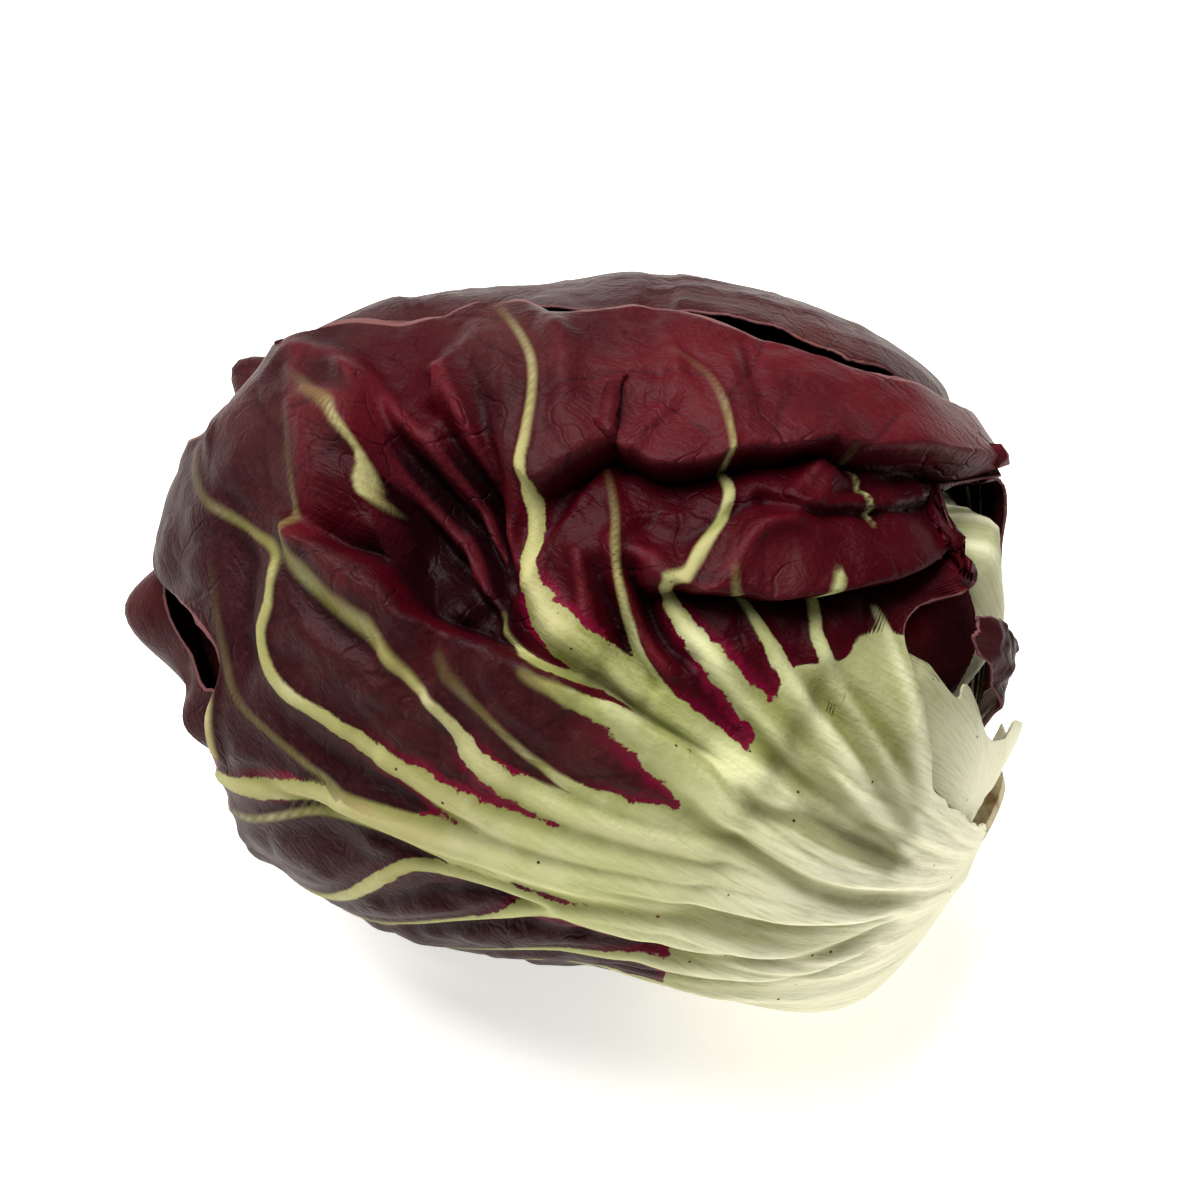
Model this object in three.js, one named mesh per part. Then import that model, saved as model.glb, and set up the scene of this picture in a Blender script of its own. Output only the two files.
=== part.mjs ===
// A head of red radicchio, lying on its side: a cut stem, a dense heart and the wrapper leaves round it.
// Millimetres, +Z up. Every leaf is a thin closed sheet laid over one rounded body. A point of the body is
// given by its angle from the stem end (0 at the cut, 180 at the crown) and its longitude round the head
// (0 on top, 90 at the front, 180 underneath), both in degrees.
import * as THREE from "three";

// Driving dimensions of the rounded body: half lengths from its centre
const STEM_REACH = 55;
const CROWN_REACH = 73;
const HALF_DEPTH = 53;
const HALF_HEIGHT = 53.5;
const SQUARENESS = 2.4;
const STEM_DIP = 24;
const STEM_YAW = 8;

// The wrappers lie on each other in levels, counted inwards from the front leaf at level 0
const LEVEL_STEP = 2.4;
const LAMINA = 0.9;
const RIB_BASE = 1.4;
const REST_FLAT = 1.8;
const REST_LEVEL = 1;
const LEAF_FOOT = 13.5;
const HEART_DEPTH = 21.2;
const STUMP_INNER_RADIUS = 7.6;
const STUMP_RADIUS = 10.5;
const STUMP_PROUD = -1;
const STUMP_BEVEL = 1.2;
const STUMP_SIDES = 24;

const rad = THREE.MathUtils.degToRad;
const clamp = THREE.MathUtils.clamp;
const smooth = (x, low, high) => THREE.MathUtils.smoothstep(x, low, high);

// Axes of the head: out of the cut stem, up across it, and towards the front
const STEM = new THREE.Vector3(
  Math.cos(rad(STEM_DIP)) * Math.cos(rad(STEM_YAW)),
  -Math.cos(rad(STEM_DIP)) * Math.sin(rad(STEM_YAW)),
  -Math.sin(rad(STEM_DIP)),
);
const OVER = new THREE.Vector3(0, 0, 1).addScaledVector(STEM, -STEM.z).normalize();
const FRONT = new THREE.Vector3().crossVectors(STEM, OVER);

function direction(angle, lon) {
  const across = Math.sin(rad(angle));
  return new THREE.Vector3()
    .addScaledVector(STEM, Math.cos(rad(angle)))
    .addScaledVector(OVER, across * Math.cos(rad(lon)))
    .addScaledVector(FRONT, across * Math.sin(rad(lon)));
}

// Angle from the stem and longitude of a direction; the longitude is kept within half a turn of near
function polar(dir, near = 0) {
  const angle = THREE.MathUtils.radToDeg(Math.acos(clamp(dir.dot(STEM), -1, 1)));
  const lon = THREE.MathUtils.radToDeg(Math.atan2(dir.dot(FRONT), dir.dot(OVER)));
  return [angle, lon + 360 * Math.round((near - lon) / 360)];
}

// Height of round swellings, given as [angle, longitude, half width in degrees, height], at a direction
function rise(swellings, dir) {
  return swellings.reduce((sum, [angle, lon, half, height]) => {
    const away = THREE.MathUtils.radToDeg(dir.angleTo(direction(angle, lon)));
    return sum + height * Math.exp(-((away / half) ** 2));
  }, 0);
}

// Where the body departs from its even form: flatter below the front, fuller at the base and the crown
const UNEVEN = [[68, 115, 20, -4.4], [80, 147, 24, -1.3], [159, 172, 18, 2.5], [30, 118, 15, 4]];
function bodyRadius(dir) {
  const along = Math.abs(dir.x) / (dir.x > 0 ? STEM_REACH : CROWN_REACH);
  const around = Math.hypot(dir.y / HALF_DEPTH, dir.z / HALF_HEIGHT);
  return (along ** SQUARENESS + around ** SQUARENESS) ** (-1 / SQUARENESS) + rise(UNEVEN, dir);
}

// A smooth curve through [x, y] points, held level past its ends
function curve(points) {
  const slope = points.map((p, i) => {
    const a = points[Math.max(i - 1, 0)];
    const b = points[Math.min(i + 1, points.length - 1)];
    return (b[1] - a[1]) / (b[0] - a[0]);
  });
  return (x) => {
    if (x <= points[0][0]) return points[0][1];
    if (x >= points.at(-1)[0]) return points.at(-1)[1];
    const i = points.findIndex((p) => p[0] > x) - 1;
    const [x0, y0] = points[i];
    const [x1, y1] = points[i + 1];
    const h = x1 - x0;
    const u = (x - x0) / h;
    return (
      y0 * (1 + 2 * u) * (1 - u) ** 2 +
      slope[i] * h * u * (1 - u) ** 2 +
      y1 * u * u * (3 - 2 * u) +
      slope[i + 1] * h * u * u * (u - 1)
    );
  };
}

// Soft, even unrest over the body, from -1 to 1, for the puckered lamina
const WAVES = [
  [5.1, 3.7, -2.9, 0.4],
  [-3.3, 6.2, 4.1, 1.9],
  [7.4, -2.2, 5.6, 3.3],
  [-6.1, -5.3, 6.8, 5.1],
  [9.7, 8.4, 3.2, 0.9],
];
function unrest(dir, seed = 0) {
  const sum = WAVES.reduce(
    (s, [x, y, z, phase]) => s + Math.sin(x * dir.x + y * dir.y + z * dir.z + phase + seed * 1.7),
    0,
  );
  return clamp(sum / 2.6, -1, 1);
}

// Folds of the front leaf: along each line of [angle, longitude] the leaf has buckled, so that the side of
// lower longitude stands out as a lip and the other side falls away under it, depth millimetres deep
const MEAN_RADIUS = 55;
const FOLDS = [
  {
    line: [
      [62, -33], [73, -18], [82, -8], [90, -5], [96, 0], [102, 5], [108, 10], [118, 10], [120, 14], [124, 24],
    ],
    depth: 8,
    relax: 9,
  },
  {
    line: [[59, -25], [63, -15], [68, -3], [72, 7], [76, 12], [82, 18], [90, 22], [98, 26], [102, 30]],
    depth: 6.5,
    relax: 12,
  },
  { line: [[64, -26], [68, -17], [74, -5], [79, 1], [87, 7], [92, 8]], depth: 3, relax: 5 },
];
// Creases, where the side of higher longitude is the lip: the edge of the lower front lobe, and the ridge
// along the crown side of the pocket
const CREASES = [
  {
    depth: 4.5, relax: 10,
    line: [[74, 49], [88, 49.5], [106, 51], [118, 55], [130, 59], [142, 60], [150, 60]],
  },
  { depth: 5, relax: 9, line: [[110, 51], [118, 55], [126, 58], [134, 59], [144, 59.5]] },
  {
    depth: 6, relax: 11,
    line: [[128, 58], [134, 56], [138, 54], [145, 44], [149, 35], [153, 25], [158, 13]],
  },
];
// The deep pocket beside the main upper rib, the line of its wall along the rib, and the wall's slope in mm
const POCKET = { angle: 131, lon: 37, halfAngle: 17, halfLon: 17, depth: 10 };
const POCKET_WALL = { line: [[100, 47], [112, 45], [119, 41], [126, 27], [134, 10], [143, -7]] };
const WALL_SLOPE = 6;

// Distance in millimetres from a fold's line, positive on the side of lower longitude
function signedFoldDistance(fold, angle, lon) {
  const at = curve(fold.line);
  const slope = (at(angle + 1) - at(angle - 1)) / 2;
  const degreeOfLon = Math.sin(rad(angle)) * MEAN_RADIUS * rad(1);
  return ((at(angle) - lon) * degreeOfLon) / Math.hypot(1, slope * Math.sin(rad(angle)));
}
function foldStrength(fold, angle, spread = 0) {
  const ends = [fold.line[0][0], fold.line.at(-1)[0]];
  const start = smooth(angle, ends[0] - 2 - spread / 12, ends[0] + 8 - spread / 6);
  return start * (1 - smooth(angle, ends[1] - 6 + spread / 4, ends[1] + 6 + spread));
}
function pocket(angle, lon, spread = 0) {
  const reach = Math.hypot((angle - POCKET.angle) / POCKET.halfAngle, (lon - POCKET.lon) / POCKET.halfLon);
  return POCKET.depth * (1 - smooth(reach, 0.25 + spread / 2, 1.25 + spread));
}
const walledPocket = (angle, lon) =>
  pocket(angle, lon) * smooth(-signedFoldDistance(POCKET_WALL, angle, lon), 0, WALL_SLOPE);

// How far the front leaf lies below the body at a point
function frontRecess(angle, lon) {
  let recess = walledPocket(angle, lon);
  for (const fold of FOLDS) {
    const d = signedFoldDistance(fold, angle, lon);
    const under = d < 0 ? Math.exp(d / fold.relax) : 1;
    recess += fold.depth * foldStrength(fold, angle) * under * (1 - smooth(d, -1.5, 1.5));
  }
  for (const crease of CREASES) {
    const d = signedFoldDistance(crease, angle, lon);
    const above = Math.exp(-Math.max(d, 0) / crease.relax) * smooth(d, -1.5, 1.8);
    recess += crease.depth * foldStrength(crease, angle) * above;
  }
  return recess;
}

// Room that the deeper levels leave under the front leaf's folds and pocket
const GUARD_SHARE = 1.15;
const GUARD_HALF_WIDTH = 5;
const GUARD_RELAX = 12;
const GUARD_SPREAD = 12;
function guard(dir) {
  const [angle, lon] = polar(dir, 30);
  return [...FOLDS, ...CREASES].reduce((room, fold) => {
    const under = signedFoldDistance(fold, angle, lon) * (CREASES.includes(fold) ? 1 : -1);
    const beyond = Math.max(under - GUARD_HALF_WIDTH, 0);
    const away = under > 0 ? beyond : -2 * Math.min(under + GUARD_HALF_WIDTH / 2, 0);
    const share = GUARD_SHARE * foldStrength(fold, angle, GUARD_SPREAD);
    return room + share * fold.depth * Math.exp(-away / GUARD_RELAX);
  }, GUARD_SHARE * pocket(angle, lon, 0.25));
}

// Ribs of the front leaf as [angle, longitude] lines from the stem out, and how far each stands proud
const FRONT_RIBS = [
  { proud: 1.8, line: [[18, 60], [40, 57], [60, 60], [80, 70], [92, 77], [104, 83], [117, 92], [125, 103]] },
  { proud: 1.3, line: [[40, 55], [70, 62], [98, 73], [108, 76], [120, 79], [138, 82], [143, 72], [153, 67]] },
  { proud: 1.1, line: [[40, 53], [65, 57], [97, 67], [107, 67], [120, 63], [134, 66], [146, 65], [154, 47]] },
  { proud: 1.2, line: [[45, 70], [60, 74], [75, 82], [86, 88], [96, 103], [99, 114]] },
  { proud: 1.6, line: [[40, 50], [60, 54], [70, 53], [83, 52], [96, 52], [106, 53]] },
  { proud: 1.8, line: [[40, 42], [55, 44], [75, 46], [91, 47], [112, 45], [119, 41], [126, 27], [134, 10]] },
  { proud: 1.5, line: [[35, 38], [55, 37], [76, 35], [85, 34], [94, 33], [98, 29]] },
  { proud: 1.2, line: [[35, 34], [50, 33], [62, 29], [71, 25], [79, 18]] },
  { proud: 1.2, line: [[35, 30], [45, 27], [58, 20], [68, 12]] },
];
const RIB_HALF_WIDTH = 2.4;
const RIB_FOOT_WIDTH = 2.6;
const RIB_POINTS = 24;

function ribPoints(line) {
  const lonAt = curve(line);
  const from = line[0][0];
  const to = line.at(-1)[0];
  return Array.from({ length: RIB_POINTS }, (_, i) => {
    const angle = from + ((to - from) * i) / (RIB_POINTS - 1);
    return direction(angle, lonAt(angle)).multiplyScalar(MEAN_RADIUS);
  });
}
const RIB_LINES = FRONT_RIBS.map((rib) => ({ proud: rib.proud, points: ribPoints(rib.line) }));

function frontRibs(dir) {
  const at = dir.clone().multiplyScalar(MEAN_RADIUS);
  const width = RIB_HALF_WIDTH + RIB_FOOT_WIDTH * (1 - smooth(polar(dir)[0], 40, 100));
  return RIB_LINES.reduce((most, rib) => {
    const near = Math.min(...rib.points.map((p) => p.distanceTo(at)));
    return Math.max(most, rib.proud * Math.exp(-((near / width) ** 2)));
  }, 0);
}

// The front leaf's side edges as longitudes, each against the angle from the stem
const FRONT_UPPER_EDGE = curve([
  [13, 30], [30, 34], [50, 34], [55, 28], [59, 24], [63, 20], [66, 14], [68, 2], [69, -10], [70, -24],
  [71, -32], [74, -36], [79, -29], [84, -21], [88, -19], [99, -18], [110, -17], [122, -19], [129, -15],
  [135, -17], [142, -20], [149, -18], [155, -15], [163, -12], [172, 0],
]);
const FRONT_LOWER_EDGE = curve([
  [13, 118], [30, 126], [50, 130], [70, 132], [90, 132], [110, 134], [119, 129], [125, 120], [131, 111],
  [135, 105], [140, 96], [144, 93], [149, 97], [152, 104], [155, 116], [159, 124], [165, 120], [172, 108],
]);
const FRONT_TIP = 171;
// The maroon lobes at the leaf's shoulder that hang towards the stem
const SHOULDER_LOBES = [
  { angle: 68, lon: 0, halfAngle: 9, halfLon: 8, drop: 8.5 },
  { angle: 70, lon: -30, halfAngle: 10, halfLon: 9, drop: 9 },
];

function frontLeaf(s, t) {
  const angle = LEAF_FOOT + s * (FRONT_TIP - LEAF_FOOT);
  const low = FRONT_UPPER_EDGE(angle);
  const high = FRONT_LOWER_EDGE(angle);
  const wave = 1.4 * Math.sin(angle * 0.42) * (Math.abs(2 * t - 1) > 0.999 ? 1 : 0);
  const lon = low + t * (high - low) + wave;
  const hung = SHOULDER_LOBES.reduce((to, lobe) => {
    const reach = Math.hypot((angle - lobe.angle) / lobe.halfAngle, (lon - lobe.lon) / lobe.halfLon);
    return to - lobe.drop * Math.exp(-(reach ** 2));
  }, angle);
  const dir = direction(hung, lon);
  const outer = bodyRadius(dir) - frontRecess(hung, lon) + frontRibs(dir) + 0.5 * unrest(dir, 1);
  const thickness = LAMINA + (RIB_BASE - LAMINA) * (1 - smooth(hung, 50, 90));
  return { dir, outer, inner: outer - thickness, floor: 0 };
}

// The other wrappers. lon is the midrib's longitude; the sheet runs from foot to tip degrees along it, and
// left and right are its half widths in degrees at those distances. torn gives a broken end instead of a
// round tip. raise and proud lift the leaf out of its level where nothing lies over it, by the shares in
// across (against -1 at the left margin to 1 at the right) and along (against degrees from the foot).
// rises are round swellings as [angle, longitude, half width, height].
const MIDDLE = [[-0.75, 0], [-0.35, 1], [0.35, 1], [0.75, 0]];
const PAST_FOOT = [[25, 0], [60, 1]];
const WRAPPERS = [
  {
    name: "under_leaf", lon: 196, level: 1, tip: 158, seed: 3, raise: 0, proud: 1.6, ribs: 7,
    across: MIDDLE,
    along: PAST_FOOT,
    left: [[13, 13], [40, 40], [70, 55], [100, 62], [130, 50], [158, 34]],
    right: [[13, 13], [40, 44], [70, 57], [100, 64], [130, 55], [158, 36]],
    rises: [],
  },
  {
    name: "torn_leaf", lon: 352, level: 1, tip: 50, seed: 4, raise: 1.6, proud: 0.4, ribs: 5,
    across: [[-1, 1], [0.2, 1], [0.5, 0]],
    along: [[13, 0], [24, 1], [30, 1], [44, 0]],
    left: [[13, 10], [30, 15], [40, 17], [52, 18]],
    right: [[13, 12], [30, 24], [40, 29], [52, 30], [66, 30]],
    torn: [
      [-1, 22], [-0.6, 26], [-0.2, 28], [0.3, 30], [0.45, 34], [0.5, 46], [0.54, 48], [0.6, 47],
      [0.66, 51], [0.71, 63], [0.76, 67], [0.83, 66], [0.9, 60], [1, 49],
    ],
    rises: [],
  },
  {
    name: "back_leaf", lon: 282, level: 2, tip: 172, seed: 5, raise: 4.2, proud: 0.8, ribs: 7,
    across: [[-0.5, 0], [0.05, 1]],
    along: [[25, 0], [46, 0.15], [58, 0.9], [70, 1.1], [82, 1], [126, 1], [140, 0.5], [148, 0.55], [160, 1]],
    left: [[13, 12], [40, 38], [70, 48], [100, 52], [130, 46], [164, 26], [172, 18]],
    right: [
      [13, 13], [30, 28], [40, 32], [50, 35], [60, 41], [75, 49], [84, 52.6], [90, 54], [105, 53], [120, 50],
      [130, 46], [140, 41], [150, 34], [164, 20], [172, 12],
    ],
    rises: [[152, -20, 9, -2.4], [163, -20, 8, -2.6], [58, -31, 8, 3]],
  },
  {
    name: "side_leaf", lon: 118, level: 2, tip: 150, seed: 10, raise: 0, proud: 0, ribs: 5,
    across: MIDDLE,
    along: PAST_FOOT,
    left: [[13, 10], [50, 26], [90, 30], [130, 24], [150, 18]],
    right: [[13, 10], [50, 28], [90, 30], [130, 25], [150, 18]],
    torn: [
      [-1, 122], [-0.6, 134], [-0.3, 141], [-0.1, 143], [0.05, 151], [0.2, 163], [0.4, 168], [0.7, 165],
      [1, 150],
    ],
    rises: [[151, 133, 6.5, 9.5], [138, 119, 4.5, 4.5]],
  },
  {
    name: "crumpled_leaf", lon: 7, level: 2, tip: 58, seed: 12, raise: 4.6, proud: 0.4, ribs: 3,
    across: [[-1, 1], [1, 1]],
    along: [[33, 0], [43, 1]],
    left: [[13, 4], [40, 6], [62, 7]],
    right: [[13, 3], [40, 3], [50, 3], [55, 5.5], [62, 7]],
    rises: [[52, 5, 8, 2]],
  },
  {
    name: "crown_leaf", lon: 142, level: 3, tip: 196, seed: 6, raise: -0.2, proud: 0, ribs: 5,
    across: MIDDLE,
    along: PAST_FOOT,
    left: [[13, 10], [50, 30], [90, 42], [130, 44], [160, 40], [196, 26]],
    right: [[13, 10], [50, 30], [90, 42], [130, 44], [160, 40], [196, 26]],
    rises: [[178, -95, 5, 9.5]],
  },
  {
    name: "inner_leaf_1", lon: 330, level: 4, tip: 168, seed: 7, raise: 0, proud: 0.3, ribs: 5,
    across: MIDDLE,
    along: PAST_FOOT,
    left: [[13, 10], [50, 28], [90, 40], [130, 42], [168, 28]],
    right: [[13, 12], [30, 24], [50, 34], [90, 37], [130, 34], [168, 24]],
    rises: [[60, -12, 10, 7.5], [60, -24, 8, 3.5], [46, -6, 9, 6]],
  },
  {
    name: "inner_leaf_2", lon: 236, level: 5, tip: 176, seed: 8, raise: 0, proud: 0.3, ribs: 5,
    across: MIDDLE,
    along: PAST_FOOT,
    left: [[13, 10], [50, 28], [90, 38], [130, 40], [176, 28]],
    right: [[13, 10], [50, 28], [90, 38], [130, 40], [176, 28]],
    rises: [],
  },
  {
    name: "inner_leaf_3", lon: 38, level: 6, tip: 172, seed: 9, raise: 0, proud: 0.3, ribs: 5,
    across: MIDDLE,
    along: PAST_FOOT,
    left: [[13, 10], [50, 28], [90, 40], [130, 42], [172, 30]],
    right: [[13, 10], [50, 28], [90, 40], [130, 42], [172, 30]],
    rises: [],
  },
];
const RIB_RISE = 0.5;
const TIP_ROUNDING = 16;

function wrapper(spec) {
  const foot = LEAF_FOOT;
  const along = direction(90, spec.lon);
  const across = new THREE.Vector3().crossVectors(STEM, along);
  const left = curve(spec.left);
  const right = curve(spec.right);
  const torn = spec.torn && curve(spec.torn);
  const liftAcross = curve(spec.across);
  const liftAlong = curve(spec.along);
  return (s, u) => {
    const t = 2 * u - 1;
    const end = torn ? torn(t) : spec.tip - TIP_ROUNDING * t * t;
    const a = foot + s * (end - foot);
    const wave = Math.abs(t) > 0.999 ? 1 + 0.03 * Math.sin(a * 0.5 + spec.seed) : 1;
    const b = (t < 0 ? left(a) : right(a)) * t * wave;
    const dir = new THREE.Vector3()
      .addScaledVector(STEM, Math.cos(rad(b)) * Math.cos(rad(a)))
      .addScaledVector(along, Math.cos(rad(b)) * Math.sin(rad(a)))
      .addScaledVector(across, Math.sin(rad(b)));
    const fade = 1 - smooth(a, 60, 150);
    const rib = RIB_RISE * fade * Math.max(0, Math.cos(Math.PI * spec.ribs * t)) ** 2;
    const swell = spec.raise + spec.proud * (0.5 + 0.5 * unrest(dir, spec.seed));
    const lift = swell * liftAcross(t) * liftAlong(a) + rise(spec.rises, dir);
    const outer = bodyRadius(dir) - spec.level * LEVEL_STEP - guard(dir) + rib + lift;
    const thickness = LAMINA + (RIB_BASE - LAMINA) * (1 - smooth(a, 30, 70));
    return { dir, outer, inner: outer - thickness, floor: (spec.level - REST_LEVEL) * LEVEL_STEP };
  };
}

// The floor that the head rests on, measured from the body's centre
const FLOOR = -(HALF_HEIGHT - REST_LEVEL * LEVEL_STEP - REST_FLAT);

// The point at a radius, held above the floor: the level that rests is flat there
function place(dir, radius, lift) {
  const lowest = FLOOR + lift;
  const held = dir.z * radius < lowest ? lowest / dir.z : radius;
  return dir.clone().multiplyScalar(held);
}

// A closed sheet from a function of two shares, 0 to 1: outer face, inner face and the rim between them
function sheet(at, rows, columns) {
  const positions = [];
  const faces = [];
  const outerOf = (i, j) => 2 * (i * (columns + 1) + j);
  for (let i = 0; i <= rows; i++) {
    for (let j = 0; j <= columns; j++) {
      const p = at(i / rows, j / columns);
      positions.push(...place(p.dir, p.outer, p.floor));
      positions.push(...place(p.dir, p.inner, p.floor + p.outer - p.inner));
    }
  }
  const quad = (a, b, c, d) => faces.push(a, b, c, a, c, d);
  for (let i = 0; i < rows; i++) {
    for (let j = 0; j < columns; j++) {
      const corners = [outerOf(i, j), outerOf(i + 1, j), outerOf(i + 1, j + 1), outerOf(i, j + 1)];
      quad(...corners);
      quad(...corners.map((v) => v + 1).reverse());
    }
  }
  for (let i = 0; i < rows; i++) {
    const a = outerOf(i, 0);
    const b = outerOf(i + 1, 0);
    quad(a, a + 1, b + 1, b);
    const c = outerOf(i, columns);
    const d = outerOf(i + 1, columns);
    quad(c, d, d + 1, c + 1);
  }
  for (let j = 0; j < columns; j++) {
    const a = outerOf(0, j);
    const b = outerOf(0, j + 1);
    quad(a, b, b + 1, a + 1);
    const c = outerOf(rows, j);
    const d = outerOf(rows, j + 1);
    quad(c, c + 1, d + 1, d);
  }
  return new THREE.BufferGeometry()
    .setAttribute("position", new THREE.Float32BufferAttribute(positions, 3))
    .setIndex(faces);
}

// The heart: the tightly packed inner leaves, closed over the crown, with the steps of their margins
const HEART_ROWS = 20;
const HEART_COLUMNS = 30;
const HEART_LEAVES = 5;
const HEART_STEP = 1.6;
const HEART_ROOM = 1.2;
function heartGeometry() {
  const positions = [];
  const faces = [];
  const point = (angle, lon) => {
    const dir = direction(angle, lon);
    const turn = (((lon + angle * 0.7) / 360) * HEART_LEAVES) % 1;
    const margin = HEART_STEP * turn * smooth(angle, 20, 60) * (1 - smooth(angle, 165, 178));
    const outer = bodyRadius(dir) - HEART_DEPTH - HEART_ROOM * guard(dir) + margin - HEART_STEP;
    return place(dir, outer, (HEART_DEPTH / LEVEL_STEP) * LEVEL_STEP - REST_LEVEL * LEVEL_STEP);
  };
  positions.push(...point(0, 0));
  for (let i = 1; i < HEART_ROWS; i++)
    for (let j = 0; j < HEART_COLUMNS; j++)
      positions.push(...point((180 * i) / HEART_ROWS, (360 * j) / HEART_COLUMNS));
  positions.push(...point(180, 0));
  const last = positions.length / 3 - 1;
  const of = (i, j) => 1 + (i - 1) * HEART_COLUMNS + (j % HEART_COLUMNS);
  for (let j = 0; j < HEART_COLUMNS; j++) {
    faces.push(0, of(1, j), of(1, j + 1));
    faces.push(last, of(HEART_ROWS - 1, j + 1), of(HEART_ROWS - 1, j));
    for (let i = 1; i < HEART_ROWS - 1; i++) {
      faces.push(of(i, j), of(i + 1, j), of(i + 1, j + 1));
      faces.push(of(i, j), of(i + 1, j + 1), of(i, j + 1));
    }
  }
  return new THREE.BufferGeometry()
    .setAttribute("position", new THREE.Float32BufferAttribute(positions, 3))
    .setIndex(faces);
}

// The stump: the cut stem, between the leaves' feet, from the heart out to the cut face
function stumpGeometry() {
  const start = bodyRadius(STEM) - HEART_DEPTH + 0.8;
  const end = bodyRadius(STEM) + STUMP_PROUD;
  const profile = [
    [0, start],
    [STUMP_INNER_RADIUS, start],
    [STUMP_RADIUS, end - STUMP_BEVEL],
    [STUMP_RADIUS - STUMP_BEVEL, end],
    [0, end],
  ].map(([r, h]) => new THREE.Vector2(r, h));
  return new THREE.LatheGeometry(profile, STUMP_SIDES).applyQuaternion(
    new THREE.Quaternion().setFromUnitVectors(new THREE.Vector3(0, 1, 0), STEM),
  );
}

// Colours of the lamina outside and inside the head, and of the pale ribs and stem
const MAROON = new THREE.MeshStandardMaterial({ color: 0x4a1420, roughness: 0.5, metalness: 0 });
const WINE = new THREE.MeshStandardMaterial({ color: 0x6d1220, roughness: 0.55, metalness: 0 });
const CREAM = new THREE.MeshStandardMaterial({ color: 0xd9dbb4, roughness: 0.6, metalness: 0 });

const head = new THREE.Group();
function add(name, geometry, material) {
  const mesh = new THREE.Mesh(geometry, material);
  mesh.name = name;
  head.add(mesh);
}

const FRONT_GRID = [34, 28];
const OUTER_GRID = [18, 14];
const INNER_GRID = [16, 12];
add("stump", stumpGeometry(), CREAM);
add("heart", heartGeometry(), WINE);
add("front_leaf", sheet(frontLeaf, ...FRONT_GRID), MAROON);
for (const spec of WRAPPERS) {
  const grid = spec.level < 4 ? OUTER_GRID : INNER_GRID;
  add(spec.name, sheet(wrapper(spec), ...grid), spec.tip < 60 ? CREAM : spec.level < 4 ? MAROON : WINE);
}

// The head stands on the floor, over the middle of its own outline
const bounds = new THREE.Box3().setFromObject(head);
head.position.set(-(bounds.min.x + bounds.max.x) / 2, -(bounds.min.y + bounds.max.y) / 2, -bounds.min.z);

export default head;
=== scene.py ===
"""A head of red radicchio lying on its side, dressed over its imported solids.

Every leaf is a thin closed sheet over one rounded body. A place on the body is an angle from the stem
(0 at the cut, 180 at the crown) and a longitude round the head (0 on top, 90 at the front, 180 underneath).
Sculpting is in millimetres round the body's centre, and each mesh is written in metres in the frame.
"""
import math
import random

import bpy
import numpy as np
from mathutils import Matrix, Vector, kdtree


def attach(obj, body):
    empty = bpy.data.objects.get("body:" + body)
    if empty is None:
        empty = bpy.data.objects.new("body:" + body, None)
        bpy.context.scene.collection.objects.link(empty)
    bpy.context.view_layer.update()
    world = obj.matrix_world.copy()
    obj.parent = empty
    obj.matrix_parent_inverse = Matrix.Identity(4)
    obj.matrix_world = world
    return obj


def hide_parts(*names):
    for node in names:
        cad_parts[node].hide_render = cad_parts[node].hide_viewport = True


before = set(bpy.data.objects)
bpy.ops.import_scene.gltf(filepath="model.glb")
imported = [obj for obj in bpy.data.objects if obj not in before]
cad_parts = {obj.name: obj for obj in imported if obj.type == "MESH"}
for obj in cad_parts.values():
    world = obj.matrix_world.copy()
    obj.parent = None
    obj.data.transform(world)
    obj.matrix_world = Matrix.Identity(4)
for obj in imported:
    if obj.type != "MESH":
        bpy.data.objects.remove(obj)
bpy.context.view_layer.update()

MM = 0.001

# The rounded body, as in the solids
STEM_REACH, CROWN_REACH, HALF_DEPTH, HALF_HEIGHT = 55.0, 73.0, 53.0, 53.5
SQUARENESS = 2.4
STEM_DIP, STEM_YAW = math.radians(24), math.radians(8)
LEVEL_STEP, REST_LEVEL, REST_FLAT = 2.4, 1, 1.8
LEAF_FOOT = 13.5
MEAN_RADIUS = 55.0
DEGREE = math.radians(1)
# The body's centre in the frame: above the resting face by the held floor, and in the middle of the box
BODY_CENTRE = np.array([10.585, 1.040, HALF_HEIGHT - REST_LEVEL * LEVEL_STEP - REST_FLAT])

STEM = np.array([
    math.cos(STEM_DIP) * math.cos(STEM_YAW),
    -math.cos(STEM_DIP) * math.sin(STEM_YAW),
    -math.sin(STEM_DIP),
])
OVER = np.array([0.0, 0.0, 1.0]) - STEM * STEM[2]
OVER /= np.linalg.norm(OVER)
FRONT = np.cross(STEM, OVER)


def direction(angle, lon):
    """The unit vector at an angle from the stem and a longitude, both in degrees."""
    angle, lon = np.radians(angle), np.radians(lon)
    across = np.sin(angle)
    return (np.cos(angle)[..., None] * STEM + (across * np.cos(lon))[..., None] * OVER
            + (across * np.sin(lon))[..., None] * FRONT)


def polar(d, near=30.0):
    """Angle from the stem and longitude, in degrees, within half a turn of near."""
    angle = np.degrees(np.arccos(np.clip(d @ STEM, -1, 1)))
    lon = np.degrees(np.arctan2(d @ FRONT, d @ OVER))
    return angle, lon + 360 * np.round((near - lon) / 360)


def rise(swellings, d):
    """Height of round swellings, given as (angle, longitude, half width in degrees, height)."""
    total = np.zeros(d.shape[:-1])
    for angle, lon, half, height in swellings:
        middle = direction(np.array(float(angle)), np.array(float(lon)))
        away = np.degrees(np.arccos(np.clip(d @ middle, -1, 1)))
        total += height * np.exp(-(away / half) ** 2)
    return total


# Where the body departs from its even form: flatter below the front, fuller at the base and the crown
UNEVEN = [(68, 115, 20, -4.4), (80, 147, 24, -1.3), (159, 172, 18, 2.5), (30, 118, 15, 4.0)]


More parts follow.
